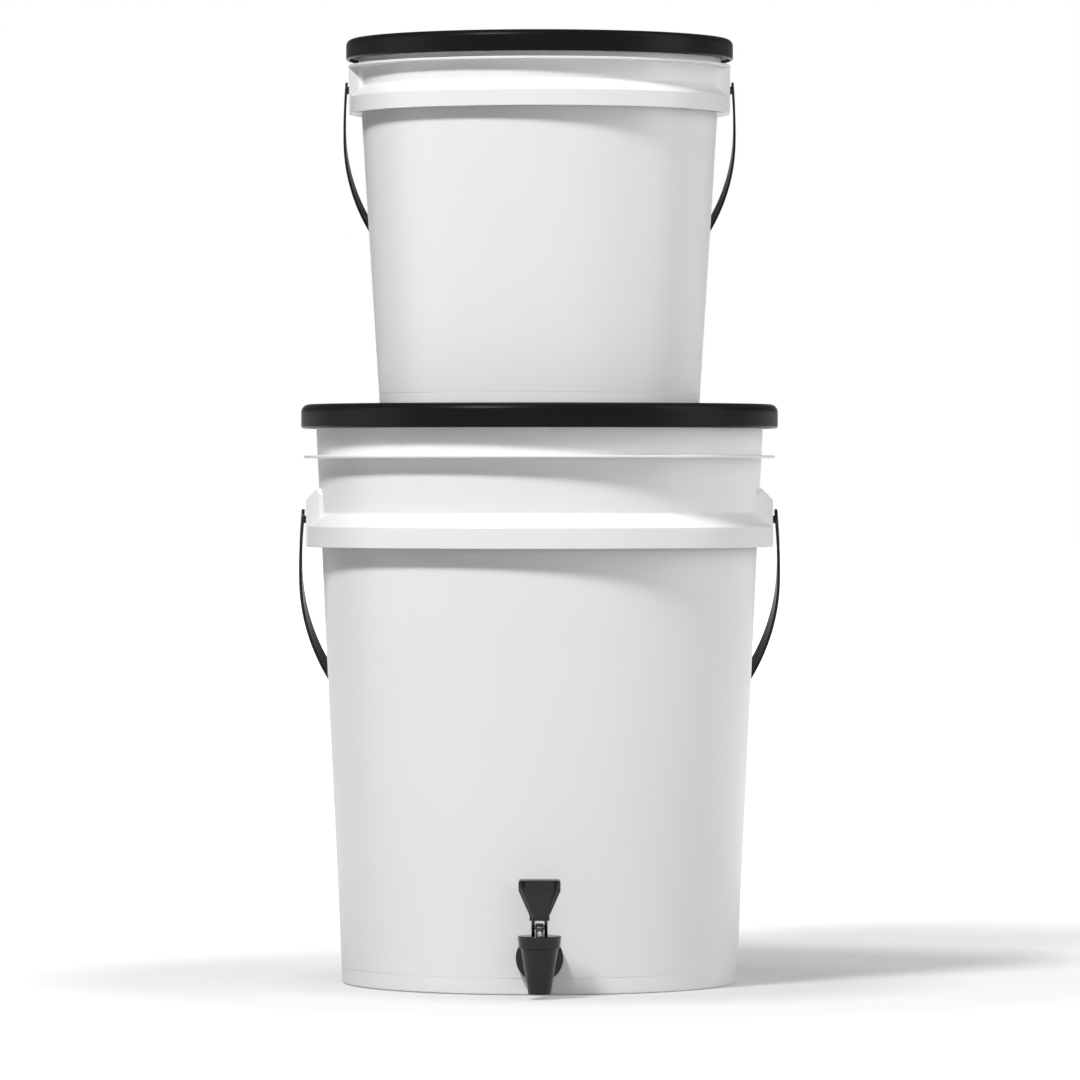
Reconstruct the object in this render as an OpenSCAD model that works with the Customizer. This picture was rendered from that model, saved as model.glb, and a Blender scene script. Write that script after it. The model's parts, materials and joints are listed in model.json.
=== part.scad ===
// Gravity water filter: an upper pail with candle filters stands on the lid of a lower pail
// with a lever tap. Both pails have a snap-on style lid and a strap bail.
// Millimetres, +Z up, front and tap towards -Y, origin at the middle of the lower foot ring.

/* [Lower pail] */
// Outer radius of the lower pail at its foot
tank_base_r = 129.7; // [122:0.1:136]
// Growth of the lower pail's radius for each millimetre of height
tank_draft = 0.047; // [0.03:0.001:0.06]
// Height of the lower pail to the top of its rim
tank_h = 374.4; // [366:0.1:400]
// Thickness of the lower pail's wall
tank_wall = 2.3; // [1.6:0.1:3]
// Thickness of the lower pail's floor
tank_floor_t = 2.6; // [1.8:0.1:3.4]
// Distance from the lower pail's rim down to its collar's bottom edge
tank_collar_drop = 88.1; // [82:0.1:105]
// Height of the lower collar's upright face
tank_collar_h = 13.6; // [10:0.1:16]
// How far the lower collar stands out from the wall
tank_collar_reach = 9.85; // [8:0.05:11]
// Distance from the lower pail's rim down to its stacking rib
tank_rib_drop = 29.8; // [24:0.1:39]
// How far the lower stacking rib stands out from the wall
tank_rib_reach = 8.9; // [5:0.1:9.2]
// How far the lower rim stands out from the wall
tank_rim_reach = 6.8; // [5:0.1:8]
// Number of gussets under the lower collar
tank_gussets = 24; // [12:4:36]

/* [Upper pail] */
// Outer radius of the upper pail at its foot
stage_base_r = 104.9; // [98:0.1:110]
// Growth of the upper pail's radius for each millimetre of height
stage_draft = 0.062; // [0.045:0.001:0.075]
// Height of the upper pail to the top of its rim
stage_h = 237.7; // [235:0.1:255]
// Thickness of the upper pail's wall
stage_wall = 1.9; // [1.4:0.1:2.5]
// Thickness of the upper pail's floor
stage_floor_t = 2.2; // [1.6:0.1:3]
// Distance from the upper pail's rim down to its collar's bottom edge
stage_collar_drop = 43.2; // [40:0.1:56]
// Height of the upper collar's upright face
stage_collar_h = 10.9; // [8:0.1:12]
// How far the upper collar stands out from the wall
stage_collar_reach = 7.9; // [6:0.1:8.2]
// Distance from the upper pail's rim down to its stacking rib
stage_rib_drop = 13.3; // [12:0.1:18]
// How far the upper stacking rib stands out from the wall
stage_rib_reach = 6.8; // [4:0.1:7]
// How far the upper rim stands out from the wall
stage_rim_reach = 4.9; // [4:0.1:5]
// Number of gussets under the upper collar
stage_gussets = 20; // [12:4:32]

/* [Pail moulding] */
// Height of the foot ring below the floor
foot_h = 3.6; // [2:0.1:5]
// Width of the foot ring
foot_w = 3; // [2.5:0.1:5]
// Radius on the outer edge of the foot
foot_edge_r = 1.2; // [0.5:0.1:2]
// Height of the mould line above the foot
band_z = 10.8; // [8:0.1:14]
// Depth of the groove round the wall at the mould line
band_groove = 0.25; // [0.1:0.05:0.6]
// Radius between floor and wall inside
floor_fillet_r = 6; // [3:0.5:8]
// Thickness of the collar
collar_t = 2; // [1.4:0.1:2.6]
// Thickness of the gussets under the collar
gusset_t = 1.6; // [1:0.1:2.4]
// Thickness of the stacking rib
rib_t = 1.8; // [1.2:0.1:2.4]
// Thickness of the flange at the rim
rim_t = 2.2; // [1.6:0.1:3]
// Depth of the lip that hangs from the rim
lip_h = 6; // [4:0.1:8]
// Thickness of that lip
lip_t = 1.6; // [1.2:0.1:2.2]
// Radius on the outer edge of the rim
rim_edge_r = 1; // [0.5:0.1:1.4]

/* [Ears] */
// How far the ears stand proud of the collar
ear_proud = 0.1; // [0.1:0.1:1]
// Half width of an ear's outer face on the lower pail
tank_ear_face = 16; // [12:0.5:18]
// Half width of an ear where it meets the lower pail's wall
tank_ear_root = 30.2; // [26:0.1:34]
// Height of the top of the ear's outer face above the lower collar's bottom edge
tank_ear_h = 31; // [27:0.1:34]
// Height of the lower bail's pivot above the lower collar's bottom edge
tank_pivot_h = 18.1; // [15:0.1:20]
// Half width of an ear's outer face on the upper pail
stage_ear_face = 14; // [10:0.5:16]
// Half width of an ear where it meets the upper pail's wall
stage_ear_root = 26.9; // [23:0.1:29]
// Height of the upper bail's pivot above the upper collar's bottom edge
stage_pivot_h = 15.7; // [13:0.1:17]
// How far the bevel at the foot of an ear's side reaches out from the wall
ear_bevel = 3.6; // [2:0.1:5]
// How far that bevel runs in along the wall
ear_bevel_run = 2.7; // [1.5:0.1:4]
// Part of the way to the wall that the slope on top of a lower ear covers
ear_slope_part = 0.87; // [0.7:0.01:0.95]
// Cut off the upper corners of the lower ears
tank_ear_corner = 5.3; // [4:0.1:10]
// Cut off the upper corners of the upper ears
stage_ear_corner = 1; // [0.5:0.1:3]

/* [Lids] */
// Thickness of the lids' tops
lid_t = 2.6; // [2:0.1:3.2]
// Thickness of the lids' skirts
skirt_t = 2.2; // [1.6:0.1:2.6]
// Play between a rim and its lid's skirt
skirt_gap = 0.4; // [0.3:0.05:0.8]
// Depth of the lower lid's skirt below the top
tank_skirt_h = 15.9; // [13:0.1:18]
// Depth of the upper lid's skirt below the top
stage_skirt_h = 13.8; // [12:0.1:14.5]
// Radius on the top edge of the lower lid
tank_lid_edge_r = 5.2; // [3:0.1:6]
// Radius on the top edge of the upper lid
stage_lid_edge_r = 4.2; // [2.5:0.1:5]
// Chamfer on the bottom edge of the skirts
skirt_chamfer = 1; // [0.4:0.1:1.4]
// Depth of the panel below the lids' top ring
panel_drop = 3.8; // [2:0.1:4.5]
// Thickness of the plug wall inside the pail's mouth
plug_t = 2; // [1.5:0.1:2.6]
// Depth of the plug wall below the rim
plug_h = 8; // [6:0.1:10]
// Play between the plug wall and the pail
plug_gap = 0.4; // [0.3:0.05:0.8]
// Thickness of the gaskets between rim and lid
gasket_t = 3; // [2:0.1:3.5]
// Width of the gaskets
gasket_w = 4.6; // [3:0.1:5]
// Radius of the sunk disc in the middle of each lid
disc_r = 84; // [70:1:92]
// Depth of that sunk disc
disc_drop = 0.8; // [0.4:0.1:1.2]
// Number of ribs under each lid
lid_ribs = 12; // [8:4:16]
// Thickness of the ribs under the lids
lid_rib_t = 1.6; // [1:0.1:2.2]
// Depth of the ribs under the lids
lid_rib_h = 4; // [2:0.1:5]

/* [Bails] */
// Distance from the pivots to the far side of the lower bail
tank_bail_len = 230; // [222:1:240]
// Distance from the pivots to the lower bail's widest place
tank_bail_widest = 47.6; // [40:0.1:55]
// How far the lower bail bulges out at its widest place
tank_bail_bulge = 2.1; // [1.5:0.1:3]
// Gap between the lower bail's strap and the ear
tank_bail_gap = 1.8; // [1.2:0.1:3]
// Width of the lower bail's strap
tank_strap_w = 15.5; // [12:0.1:18]
// Thickness of the lower bail's strap
tank_strap_t = 2; // [1.6:0.1:2.6]
// Distance from the pivots to the far side of the upper bail
stage_bail_len = 188; // [180:1:196]
// Distance from the pivots to the upper bail's widest place
stage_bail_widest = 38.5; // [34:0.1:44]
// How far the upper bail bulges out at its widest place
stage_bail_bulge = 1.5; // [1.2:0.1:2.5]
// Gap between the upper bail's strap and the ear
stage_bail_gap = 1.4; // [1.3:0.1:2.5]
// Width of the upper bail's strap
stage_strap_w = 12; // [10:0.1:14]
// Thickness of the upper bail's strap
stage_strap_t = 1.6; // [1.4:0.1:2.2]
// Width of a strap's rounded end as a part of its full width
strap_end_part = 0.87; // [0.8:0.01:1]
// Distance over which a strap reaches its full width
strap_taper = 60; // [30:5:90]
// Radius of the bails' pins
pin_r = 2.55; // [2:0.05:3]
// Depth of the pins in the ears
pin_depth = 4.5; // [3:0.1:5]
// Gap between the end of a pin and the bottom of its bore
pin_end_gap = 0.5; // [0.3:0.1:1]
// Play of the pins in the ears
pin_play = 0.08; // [0.04:0.01:0.1]
// Gap that the bails keep from the pail that they lean on
lean_gap = 0.3; // [0.3:0.1:1]

/* [Tap body] */
// Height of the tap's shank above the floor that the pail stands on
tap_z = 24.3; // [23.5:0.1:30]
// Distance from the pail's wall to the middle of the spout
tap_reach = 33.5; // [31:0.1:40]
// Radius of the shank
shank_r = 9.3; // [8.5:0.1:9.8]
// Length of the shank behind the flange
shank_len = 21; // [19:0.5:26]
// Radius of the water way through the shank
shank_bore_r = 5.2; // [4:0.1:6]
// Play of the shank in the pail's wall and the washers
shank_play = 0.25; // [0.1:0.05:0.4]
// Radius of the flange
flange_r = 15.25; // [13:0.05:17]
// Thickness of the flange
flange_t = 3.4; // [2.5:0.1:4.5]
// How far the barrel between flange and spout lies below the spout's shoulder
barrel_drop = 0.2; // [0.1:0.1:1]
// Radius of the spout at its bottom end
spout_tip_r = 7.3; // [6.5:0.1:8]
// Radius of the spout under the bonnet
spout_top_r = 11.85; // [11:0.05:12.4]
// Depth of the spout's end below the shank's axis
spout_drop = 21; // [18:0.1:23]
// Height of the spout's shoulder above the shank's axis
spout_rise = 8.2; // [7:0.1:10]
// Radius of the water way out of the spout
outlet_r = 4.6; // [3.5:0.1:5]
// Depth of the valve seat below the shank's axis
seat_drop = 7.3; // [6.5:0.1:8.5]
// Wall around the valve chamber
chamber_wall = 2.4; // [1.8:0.1:3]
// Play between the washers and the wall that they are shaped to
washer_play = 0.15; // [0.1:0.01:0.3]
// Thickness of the front washer at its thinnest
front_washer_t = 2; // [1.5:0.1:3]
// Thickness of the back washer at its thickest
back_washer_t = 2.4; // [1.8:0.1:3]
// Radius of the washers
washer_r = 14.2; // [13:0.1:14.6]
// Width of the nut across its flats
nut_af = 27; // [25:0.5:28]
// Thickness of the nut
nut_t = 8.5; // [6:0.1:10]

/* [Tap bonnet and valve] */
// Radius of the bonnet at its bottom edge
bonnet_r = 13.05; // [12.8:0.05:14]
// Radius of the bonnet at its top edge
bonnet_top_r = 13.95; // [13.5:0.05:15]
// Height of the bonnet
bonnet_h = 8.2; // [7:0.1:10]
// Thickness of the bonnet's top
bonnet_t = 2.2; // [1.8:0.1:3]
// Radius on the bonnet's top edge
bonnet_edge_r = 0.8; // [0.4:0.1:1.2]
// Fall of the bonnet's top from the middle to that edge
bonnet_fall = 0.3; // [0.1:0.1:0.6]
// Play between the bonnet and the neck that it screws on
neck_play = 0.15; // [0.1:0.05:0.3]
// Step from the spout in to the threaded neck
neck_step = 0.6; // [0.4:0.1:1]
// Wall of the threaded neck
neck_wall = 2; // [1.5:0.1:2.5]
// Radius of the stem
stem_r = 2.6; // [2.2:0.1:3]
// Play of the stem in the bonnet
stem_play = 0.08; // [0.04:0.01:0.1]
// Width of the eye on the stem
eye_w = 5.1; // [4.6:0.1:5.6]
// Height of the eye above the bonnet
eye_z = 2.6; // [2:0.1:3.4]
// Width of the window through the eye
eye_window = 3.3; // [3.1:0.1:3.6]
// Radius of the lever's pin
lever_pin_r = 1.45; // [1.2:0.05:1.6]
// Play of the lever on its pin
lever_play = 0.05; // [0.03:0.01:0.09]
// Radius of the seat cup's rim
cup_r = 6.6; // [6:0.1:7]
// Height of the seat cup
cup_h = 5.6; // [5:0.1:7]
// Chamfer on the bottom edge of the seat cup
cup_chamfer = 0.6; // [0.3:0.1:0.8]
// Height of the seat cup's upright edge
cup_edge_h = 1; // [0.6:0.1:1.6]
// Wall of the seat cup around the stem
cup_wall = 1.4; // [1:0.1:2]
// Play of the seat cup in the valve chamber
cup_play = 0.3; // [0.2:0.05:0.6]

/* [Tap lever] */
// Lift of the stem for each radian that the lever turns
cam_rise = 3; // [2:0.1:3.6]
// Angle that the cam feet are shaped for
cam_angle = 62; // [50:1:66]
// Thickness of a leg
leg_t = 2.1; // [1.5:0.1:2.2]
// Width over the two legs
legs_w = 10.2; // [9.8:0.1:12]
// Half depth of a leg from front to back
leg_depth = 3.2; // [3:0.1:3.8]
// Width of the lever's neck
neck_w = 12.7; // [12:0.1:14]
// Height of the neck above the pin
neck_z = 4; // [3.9:0.1:4.5]
// Height of the neck's straight sides
neck_h = 3.9; // [3:0.1:5]
// Width of the paddle at its top
paddle_w = 26.7; // [22:0.1:30]
// Height of the paddle above the pin
paddle_h = 30.6; // [26:0.1:34]
// Height of the paddle's straight sides
paddle_side = 6.8; // [5:0.1:9]
// Thickness of the paddle
paddle_t = 6.2; // [5.4:0.1:6.6]
// Radius on the paddle's top corners
paddle_corner_r = 1.6; // [1:0.1:3]
// Width of the rim around the hollow in the paddle's front
paddle_rim = 0.8; // [0.6:0.1:2]
// Depth of that hollow under the paddle's top
dish_top_depth = 3.6; // [2:0.1:4.4]
// Depth of that hollow where it ends at the neck
dish_foot_depth = 0.9; // [0.5:0.1:1.6]
// Height of the notch in the neck's front between the legs
notch_h = 2.2; // [1:0.1:3]
// Depth of that notch
notch_depth = 3; // [1.5:0.1:3.6]
// Distance of that notch from each leg
notch_inset = 0.4; // [0.3:0.1:1]
// Forward lean of the paddle
paddle_lean = 6; // [0:1:20]

/* [Candle filters] */
// Distance of each filter from the middle
filter_x = 50; // [44:0.5:56]
// Radius of the ceramic domes
dome_r = 27; // [24:0.5:29]
// Height of a dome
dome_h = 128; // [100:1:150]
// Thickness of the ceramic
dome_t = 6; // [4:0.5:8]
// Radius of the carbon cores
core_r = 18.5; // [14:0.5:19.5]
// Height of the carbon cores
core_h = 88; // [70:1:92]
// Radius of the hole through a core
core_bore_r = 5; // [3:0.5:7]
// Radius of the filter's base
base_cup_r = 29; // [28.5:0.5:32]
// Play of a dome in its base
dome_play = 0.3; // [0.2:0.05:0.5]
// Thickness of the base's floor
base_floor_t = 4; // [3:0.1:5]
// Depth of the base's socket
base_socket_h = 6; // [4:0.5:9]
// Radius of the threaded stem
filter_stem_r = 6; // [5:0.1:7]
// Radius of the water way through the stem
filter_bore_r = 2.5; // [1.5:0.1:3]
// Play of the stem in floor, lid and seals
filter_stem_play = 0.3; // [0.2:0.05:0.6]
// Length of stem that shows below the nut
stem_tail = 12; // [6:0.5:20]
// Outer radius of the filter's seals
filter_seal_r = 13; // [11:0.5:16]
// Thickness of the filter's seals
filter_seal_t = 2; // [1.5:0.1:3]
// Radius of the wing nuts
wing_nut_r = 9.5; // [8.5:0.1:11]
// Thickness of the wing nuts
wing_nut_t = 9; // [7:0.1:12]
// Span of the wings
wing_span = 38; // [30:0.5:42]
// Thickness of the wings
wing_t = 3; // [2:0.1:4]

/* [Hidden] */
$fn = 96;
WHITE = [0.93, 0.93, 0.92];
BLACK = [0.07, 0.07, 0.075];
RUBBER = [0.16, 0.16, 0.17];
SILICONE = [0.82, 0.82, 0.8];
STEEL = [0.72, 0.72, 0.73];
CERAMIC = [0.95, 0.93, 0.88];
CARBON = [0.1, 0.1, 0.1];
root_two = sqrt(2);
cut = 1; // how far a cutting solid runs past the face that it cuts
sink = 0.6; // how far a rib or wing reaches into what carries it
ear_sink = 6; // how far an ear reaches in before the inside of its pail is cut
end_steps = 8; // points on the short curve of a bail
side_steps = 24; // points on the long curve of a bail
cam_steps = 12; // points on a cam foot

tank_collar_z = tank_h - tank_collar_drop;
tank_rib_z = tank_h - tank_rib_drop;
tank_collar_r = cone_r(tank_base_r, tank_draft, tank_collar_z) + tank_collar_reach;
tank_rim_r = cone_r(tank_base_r, tank_draft, tank_h) + tank_rim_reach;
tank_ear_x = tank_collar_r + ear_proud;
tank_pivot_z = tank_collar_z + tank_pivot_h;
tank_ear_face_top = tank_collar_z + tank_ear_h;
tank_ear_slope = tank_ear_x - cone_r(tank_base_r, tank_draft, tank_ear_face_top);
tank_ear_top = tank_ear_face_top + tank_ear_slope * ear_slope_part;
tank_plug_r = cone_r(tank_base_r, tank_draft, tank_h - plug_h) - tank_wall - plug_gap;
tank_lid_z = tank_h + gasket_t;
tank_lid_top = tank_lid_z + lid_t;
stage_z = tank_lid_top - panel_drop;
stage_collar_z = stage_h - stage_collar_drop;
stage_rib_z = stage_h - stage_rib_drop;
stage_collar_r = cone_r(stage_base_r, stage_draft, stage_collar_z) + stage_collar_reach;
stage_rim_r = cone_r(stage_base_r, stage_draft, stage_h) + stage_rim_reach;
stage_ear_x = stage_collar_r + ear_proud;
stage_pivot_z = stage_collar_z + stage_pivot_h;
stage_plug_r = cone_r(stage_base_r, stage_draft, stage_h - plug_h) - stage_wall - plug_gap;
stage_lid_z = stage_h + gasket_t;

wall_y = -cone_r(tank_base_r, tank_draft, tap_z);
flange_back_y = wall_y - front_washer_t;
spout_y = wall_y - tap_reach;
barrel_r = spout_rise - barrel_drop;
seat_z = tap_z - seat_drop;
shoulder_z = tap_z + spout_rise;
bonnet_top_z = shoulder_z + bonnet_h;
neck_r = spout_top_r - neck_step;
neck_top_z = bonnet_top_z - bonnet_t - neck_play;
pin_z = bonnet_top_z + eye_z + eye_w / 2;
foot_drop = pin_z - bonnet_top_z;
nut_y = wall_y + tank_wall + back_washer_t;
chamber_r = spout_top_r - chamber_wall;

stage_floor_z = foot_h + stage_floor_t;
filter_base_z = stage_floor_z + filter_seal_t;
dome_z = filter_base_z + base_floor_t;
lid_under_z = -lid_t;
stem_end_z = lid_under_z - filter_seal_t - wing_nut_t - stem_tail;

// Radius of a drafted wall at a height
function cone_r(base_r, draft, z) = base_r + draft * z;

// Points along an arc of a circle
function arc(x, y, r, from, to, steps = 6) =
    [for (i = [0:steps]) let (a = from + (to - from) * i / steps) [x + r * cos(a), y + r * sin(a)]];

// Height at which a 45 degree slope that leaves radius r at height z meets the wall
function slope_meets(base_r, draft, r, z) = (z + r - base_r) / (1 + draft);

// Outside of a pail: foot ring, mould line, hollow collar, stacking rib and lipped rim
function pail_outside(base_r, draft, h, collar_z, collar_h, collar_r, rib_z, rib_reach, rim_r) =
    let (
        face_top = collar_z + collar_h,
        slope_top = slope_meets(base_r, draft, collar_r, face_top),
        hollow_top = slope_meets(base_r, draft, collar_r, face_top - collar_t * root_two),
        rib_r = cone_r(base_r, draft, rib_z) + rib_reach
    )
    concat(
        [[0, foot_h], [base_r - foot_w, foot_h], [base_r - foot_w, 0]],
        arc(base_r - foot_edge_r, foot_edge_r, foot_edge_r, -90, 0),
        [[cone_r(base_r, draft, band_z - band_groove), band_z - band_groove]],
        [[cone_r(base_r, draft, band_z) - band_groove, band_z]],
        [[cone_r(base_r, draft, band_z + band_groove), band_z + band_groove]],
        [[cone_r(base_r, draft, hollow_top), hollow_top]],
        [[collar_r - collar_t, face_top + collar_t * (1 - root_two)], [collar_r - collar_t, collar_z]],
        [[collar_r, collar_z], [collar_r, face_top]],
        [[cone_r(base_r, draft, slope_top), slope_top]],
        [[cone_r(base_r, draft, rib_z), rib_z], [rib_r, rib_z], [rib_r, rib_z + rib_t]],
        [[cone_r(base_r, draft, rib_z + rib_t), rib_z + rib_t]],
        [[cone_r(base_r, draft, h - rim_t), h - rim_t], [rim_r - lip_t, h - rim_t]],
        [[rim_r - lip_t, h - lip_h], [rim_r, h - lip_h]],
        arc(rim_r - rim_edge_r, h - rim_edge_r, rim_edge_r, 0, 90, 4),
        [[0, h]]
    );

// Inside of a pail, from the floor up past the rim
function pail_inside(base_r, draft, h, wall, floor_z) =
    let (
        fillet_z = floor_z + floor_fillet_r,
        fillet_x = cone_r(base_r, draft, fillet_z) - wall - floor_fillet_r
    )
    concat(
        [[0, floor_z]],
        arc(fillet_x, fillet_z, floor_fillet_r, -90, 0),
        [[cone_r(base_r, draft, h + cut) - wall, h + cut], [0, h + cut]]
    );

// One gusset between the wall and the collar's upright face
module gusset(base_r, draft, collar_z, collar_h, collar_r) {
    face_top = collar_z + collar_h;
    hollow_top = slope_meets(base_r, draft, collar_r, face_top - collar_t * root_two);
    foot_z = collar_z + collar_t;
    translate([0, gusset_t / 2, 0])
        rotate([90, 0, 0])
            linear_extrude(gusset_t)
                polygon([
                    [cone_r(base_r, draft, foot_z) - sink, foot_z],
                    [collar_r - collar_t / 2, foot_z],
                    [collar_r - collar_t / 2, face_top - sink],
                    [cone_r(base_r, draft, hollow_top) - sink, hollow_top + sink]
                ]);
}

// A bail ear on the +X side: plan with bevelled sides, cut by a side view and an end view
module ear(wall_at, ear_x, face_half, root_half, bottom_z, face_top_z, top_z, corner) {
    root_x = sqrt(wall_at * wall_at - root_half * root_half);
    inner_x = root_x - ear_sink;
    intersection() {
        translate([0, 0, bottom_z])
            linear_extrude(top_z - bottom_z)
                polygon([
                    [inner_x, -root_half + corner], [root_x, -root_half],
                    [root_x + ear_bevel, -root_half + ear_bevel_run],
                    [ear_x, -face_half], [ear_x, face_half],
                    [root_x + ear_bevel, root_half - ear_bevel_run],
                    [root_x, root_half], [inner_x, root_half - corner]
                ]);
        // End view: the top of the outer face slopes back to the wall
        translate([0, root_half + cut, 0])
            rotate([90, 0, 0])
                linear_extrude(2 * (root_half + cut))
                    polygon([
                        [inner_x - cut, bottom_z], [ear_x + cut, bottom_z],
                        [ear_x + cut, face_top_z - cut],
                        [ear_x - (top_z - face_top_z), top_z], [inner_x - cut, top_z]
                    ]);
        // Side view: the two upper corners are cut off
        translate([inner_x - cut, 0, 0])
            rotate([90, 0, 90])
                linear_extrude(ear_x - inner_x + 2 * cut)
                    polygon([
                        [-root_half - cut, bottom_z], [root_half + cut, bottom_z],
                        [root_half + cut, top_z - corner - cut], [root_half - corner, top_z],
                        [corner - root_half, top_z], [-root_half - cut, top_z - corner - cut]
                    ]);
    }
}

// The blind bore in each ear that holds a bail's pin
module pin_bores(ear_x, pivot_z) {
    for (side = [-1, 1])
        translate([side * (ear_x + cut), 0, pivot_z])
            rotate([0, -side * 90, 0])
                cylinder(h = pin_depth + cut + pin_end_gap, r = pin_r + pin_play);
}

// Lid with a top ring, a sunk panel, an outer skirt and a plug wall; z is the underside of the ring
module lid(z, rim_r, plug_r, skirt_h, edge_r) {
    outer_r = rim_r + skirt_gap + skirt_t;
    top_z = z + lid_t;
    panel_z = top_z - panel_drop;
    skirt_z = top_z - skirt_h;
    plug_z = z - gasket_t - plug_h;
    rotate_extrude()
        polygon(concat(
            [[0, panel_z - lid_t], [plug_r - plug_t, panel_z - lid_t], [plug_r - plug_t, plug_z]],
            [[plug_r - plug_t / 2, plug_z], [plug_r, plug_z + plug_t / 2], [plug_r, z]],
            [[rim_r + skirt_gap, z], [rim_r + skirt_gap, skirt_z]],
            [[outer_r - skirt_chamfer, skirt_z], [outer_r, skirt_z + skirt_chamfer]],
            arc(outer_r - edge_r, top_z - edge_r, edge_r, 0, 90, 8),
            [[plug_r, top_z], [plug_r - panel_drop, panel_z], [disc_r, panel_z]],
            [[disc_r - disc_drop, panel_z - disc_drop], [0, panel_z - disc_drop]]
        ));
    for (i = [1:lid_ribs])
        rotate([0, 0, (i - 0.5) * 360 / lid_ribs])
            translate([disc_r, -lid_rib_t / 2, panel_z - lid_t - lid_rib_h])
                cube([plug_r - plug_t / 2 - disc_r, lid_rib_t, lid_rib_h + sink]);
}

module gasket(z, plug_r) {
    translate([0, 0, z - gasket_t])
        difference() {
            cylinder(h = gasket_t, r = plug_r + plug_gap + gasket_w);
            translate([0, 0, -cut])
                cylinder(h = gasket_t + 2 * cut, r = plug_r + plug_gap);
        }
}

// Half of the outline of a bail, from its end down to the middle of its far side.
// A short curve leads from the pivot to the widest place, and an ellipse from there on.
function bail_side(half_w, bulge, widest, len, end_r) =
    concat(
        [for (i = [0:end_steps])
            let (s = -end_r - cut + (widest + end_r + cut) * i / end_steps, k = (widest - s) / widest)
            [half_w - bulge * k * k, -s]],
        [for (i = [1:side_steps])
            let (a = 90 * i / side_steps)
            [half_w * cos(a), -widest - (len - widest) * sin(a)]]
    );

// Angle from straight down at which a bail leans on the wall of its pail
function bail_lean(len, strap_t, strap_w, base_r, draft, pivot_z) =
    let (
        a = len - strap_t + draft * strap_w / 2,
        b = draft * (len - strap_t) - strap_w / 2,
        c = base_r + draft * pivot_z + lean_gap
    )
    asin(c / norm([a, b])) - atan2(b, a);

// A strap bail, its pivots on the X axis, hanging straight down
module bail(ear_x, gap, bulge, widest, len, strap_t, strap_w) {
    half_w = ear_x + gap + strap_t + bulge;
    end_r = strap_w * strap_end_part / 2;
    outer = bail_side(half_w, bulge, widest, len, end_r);
    inner = bail_side(half_w - strap_t, bulge, widest, len - strap_t, end_r);
    last = len(outer) - 1;
    intersection() {
        rotate([90, 0, 0])
            linear_extrude(strap_w + 2 * cut, center = true)
                polygon(concat(
                    outer,
                    [for (i = [last - 1:-1:0]) [-outer[i][0], outer[i][1]]],
                    [for (i = [0:last]) [-inner[i][0], inner[i][1]]],
                    [for (i = [last - 1:-1:0]) inner[i]]
                ));
        rotate([90, 0, 90])
            linear_extrude(2 * half_w + 2 * cut, center = true)
                union() {
                    circle(r = end_r);
                    polygon([
                        [-end_r, 0], [end_r, 0], [strap_w / 2, -strap_taper], [strap_w / 2, -len - cut],
                        [-strap_w / 2, -len - cut], [-strap_w / 2, -strap_taper]
                    ]);
                }
    }
    for (side = [-1, 1])
        translate([side * (ear_x - pin_depth), 0, 0])
            rotate([0, side * 90, 0])
                cylinder(h = pin_depth + gap + strap_t / 2, r = pin_r);
}

module lower_pail() {
    color(WHITE)
        difference() {
            union() {
                rotate_extrude()
                    polygon(pail_outside(tank_base_r, tank_draft, tank_h, tank_collar_z, tank_collar_h,
                        tank_collar_r, tank_rib_z, tank_rib_reach, tank_rim_r));
                for (i = [1:tank_gussets])
                    rotate([0, 0, (i - 0.5) * 360 / tank_gussets])
                        gusset(tank_base_r, tank_draft, tank_collar_z, tank_collar_h, tank_collar_r);
                for (turn = [0, 180])
                    rotate([0, 0, turn])
                        ear(cone_r(tank_base_r, tank_draft, tank_pivot_z), tank_ear_x, tank_ear_face,
                            tank_ear_root, tank_collar_z, tank_ear_face_top, tank_ear_top,
                            tank_ear_corner);
            }
            rotate_extrude()
                polygon(pail_inside(tank_base_r, tank_draft, tank_h, tank_wall, foot_h + tank_floor_t));
            pin_bores(tank_ear_x, tank_pivot_z);
            translate([0, wall_y + 2 * tank_wall, tap_z])
                rotate([90, 0, 0])
                    cylinder(h = 4 * tank_wall, r = shank_r + shank_play);
        }
}

module lower_lid() {
    color(BLACK)
        difference() {
            lid(tank_lid_z, tank_rim_r, tank_plug_r, tank_skirt_h, tank_lid_edge_r);
            for (side = [-1, 1])
                translate([side * filter_x, 0, stage_z - lid_t - cut])
                    cylinder(h = lid_t + 2 * cut, r = filter_stem_r + filter_stem_play);
        }
}

module lower_lid_gasket() {
    color(RUBBER)
        gasket(tank_lid_z, tank_plug_r);
}

module lower_bail() {
    color(BLACK)
        translate([0, 0, tank_pivot_z])
            rotate([bail_lean(tank_bail_len, tank_strap_t, tank_strap_w, tank_base_r, tank_draft,
                tank_pivot_z), 0, 0])
                bail(tank_ear_x, tank_bail_gap, tank_bail_bulge, tank_bail_widest, tank_bail_len,
                    tank_strap_t, tank_strap_w);
}

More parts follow.
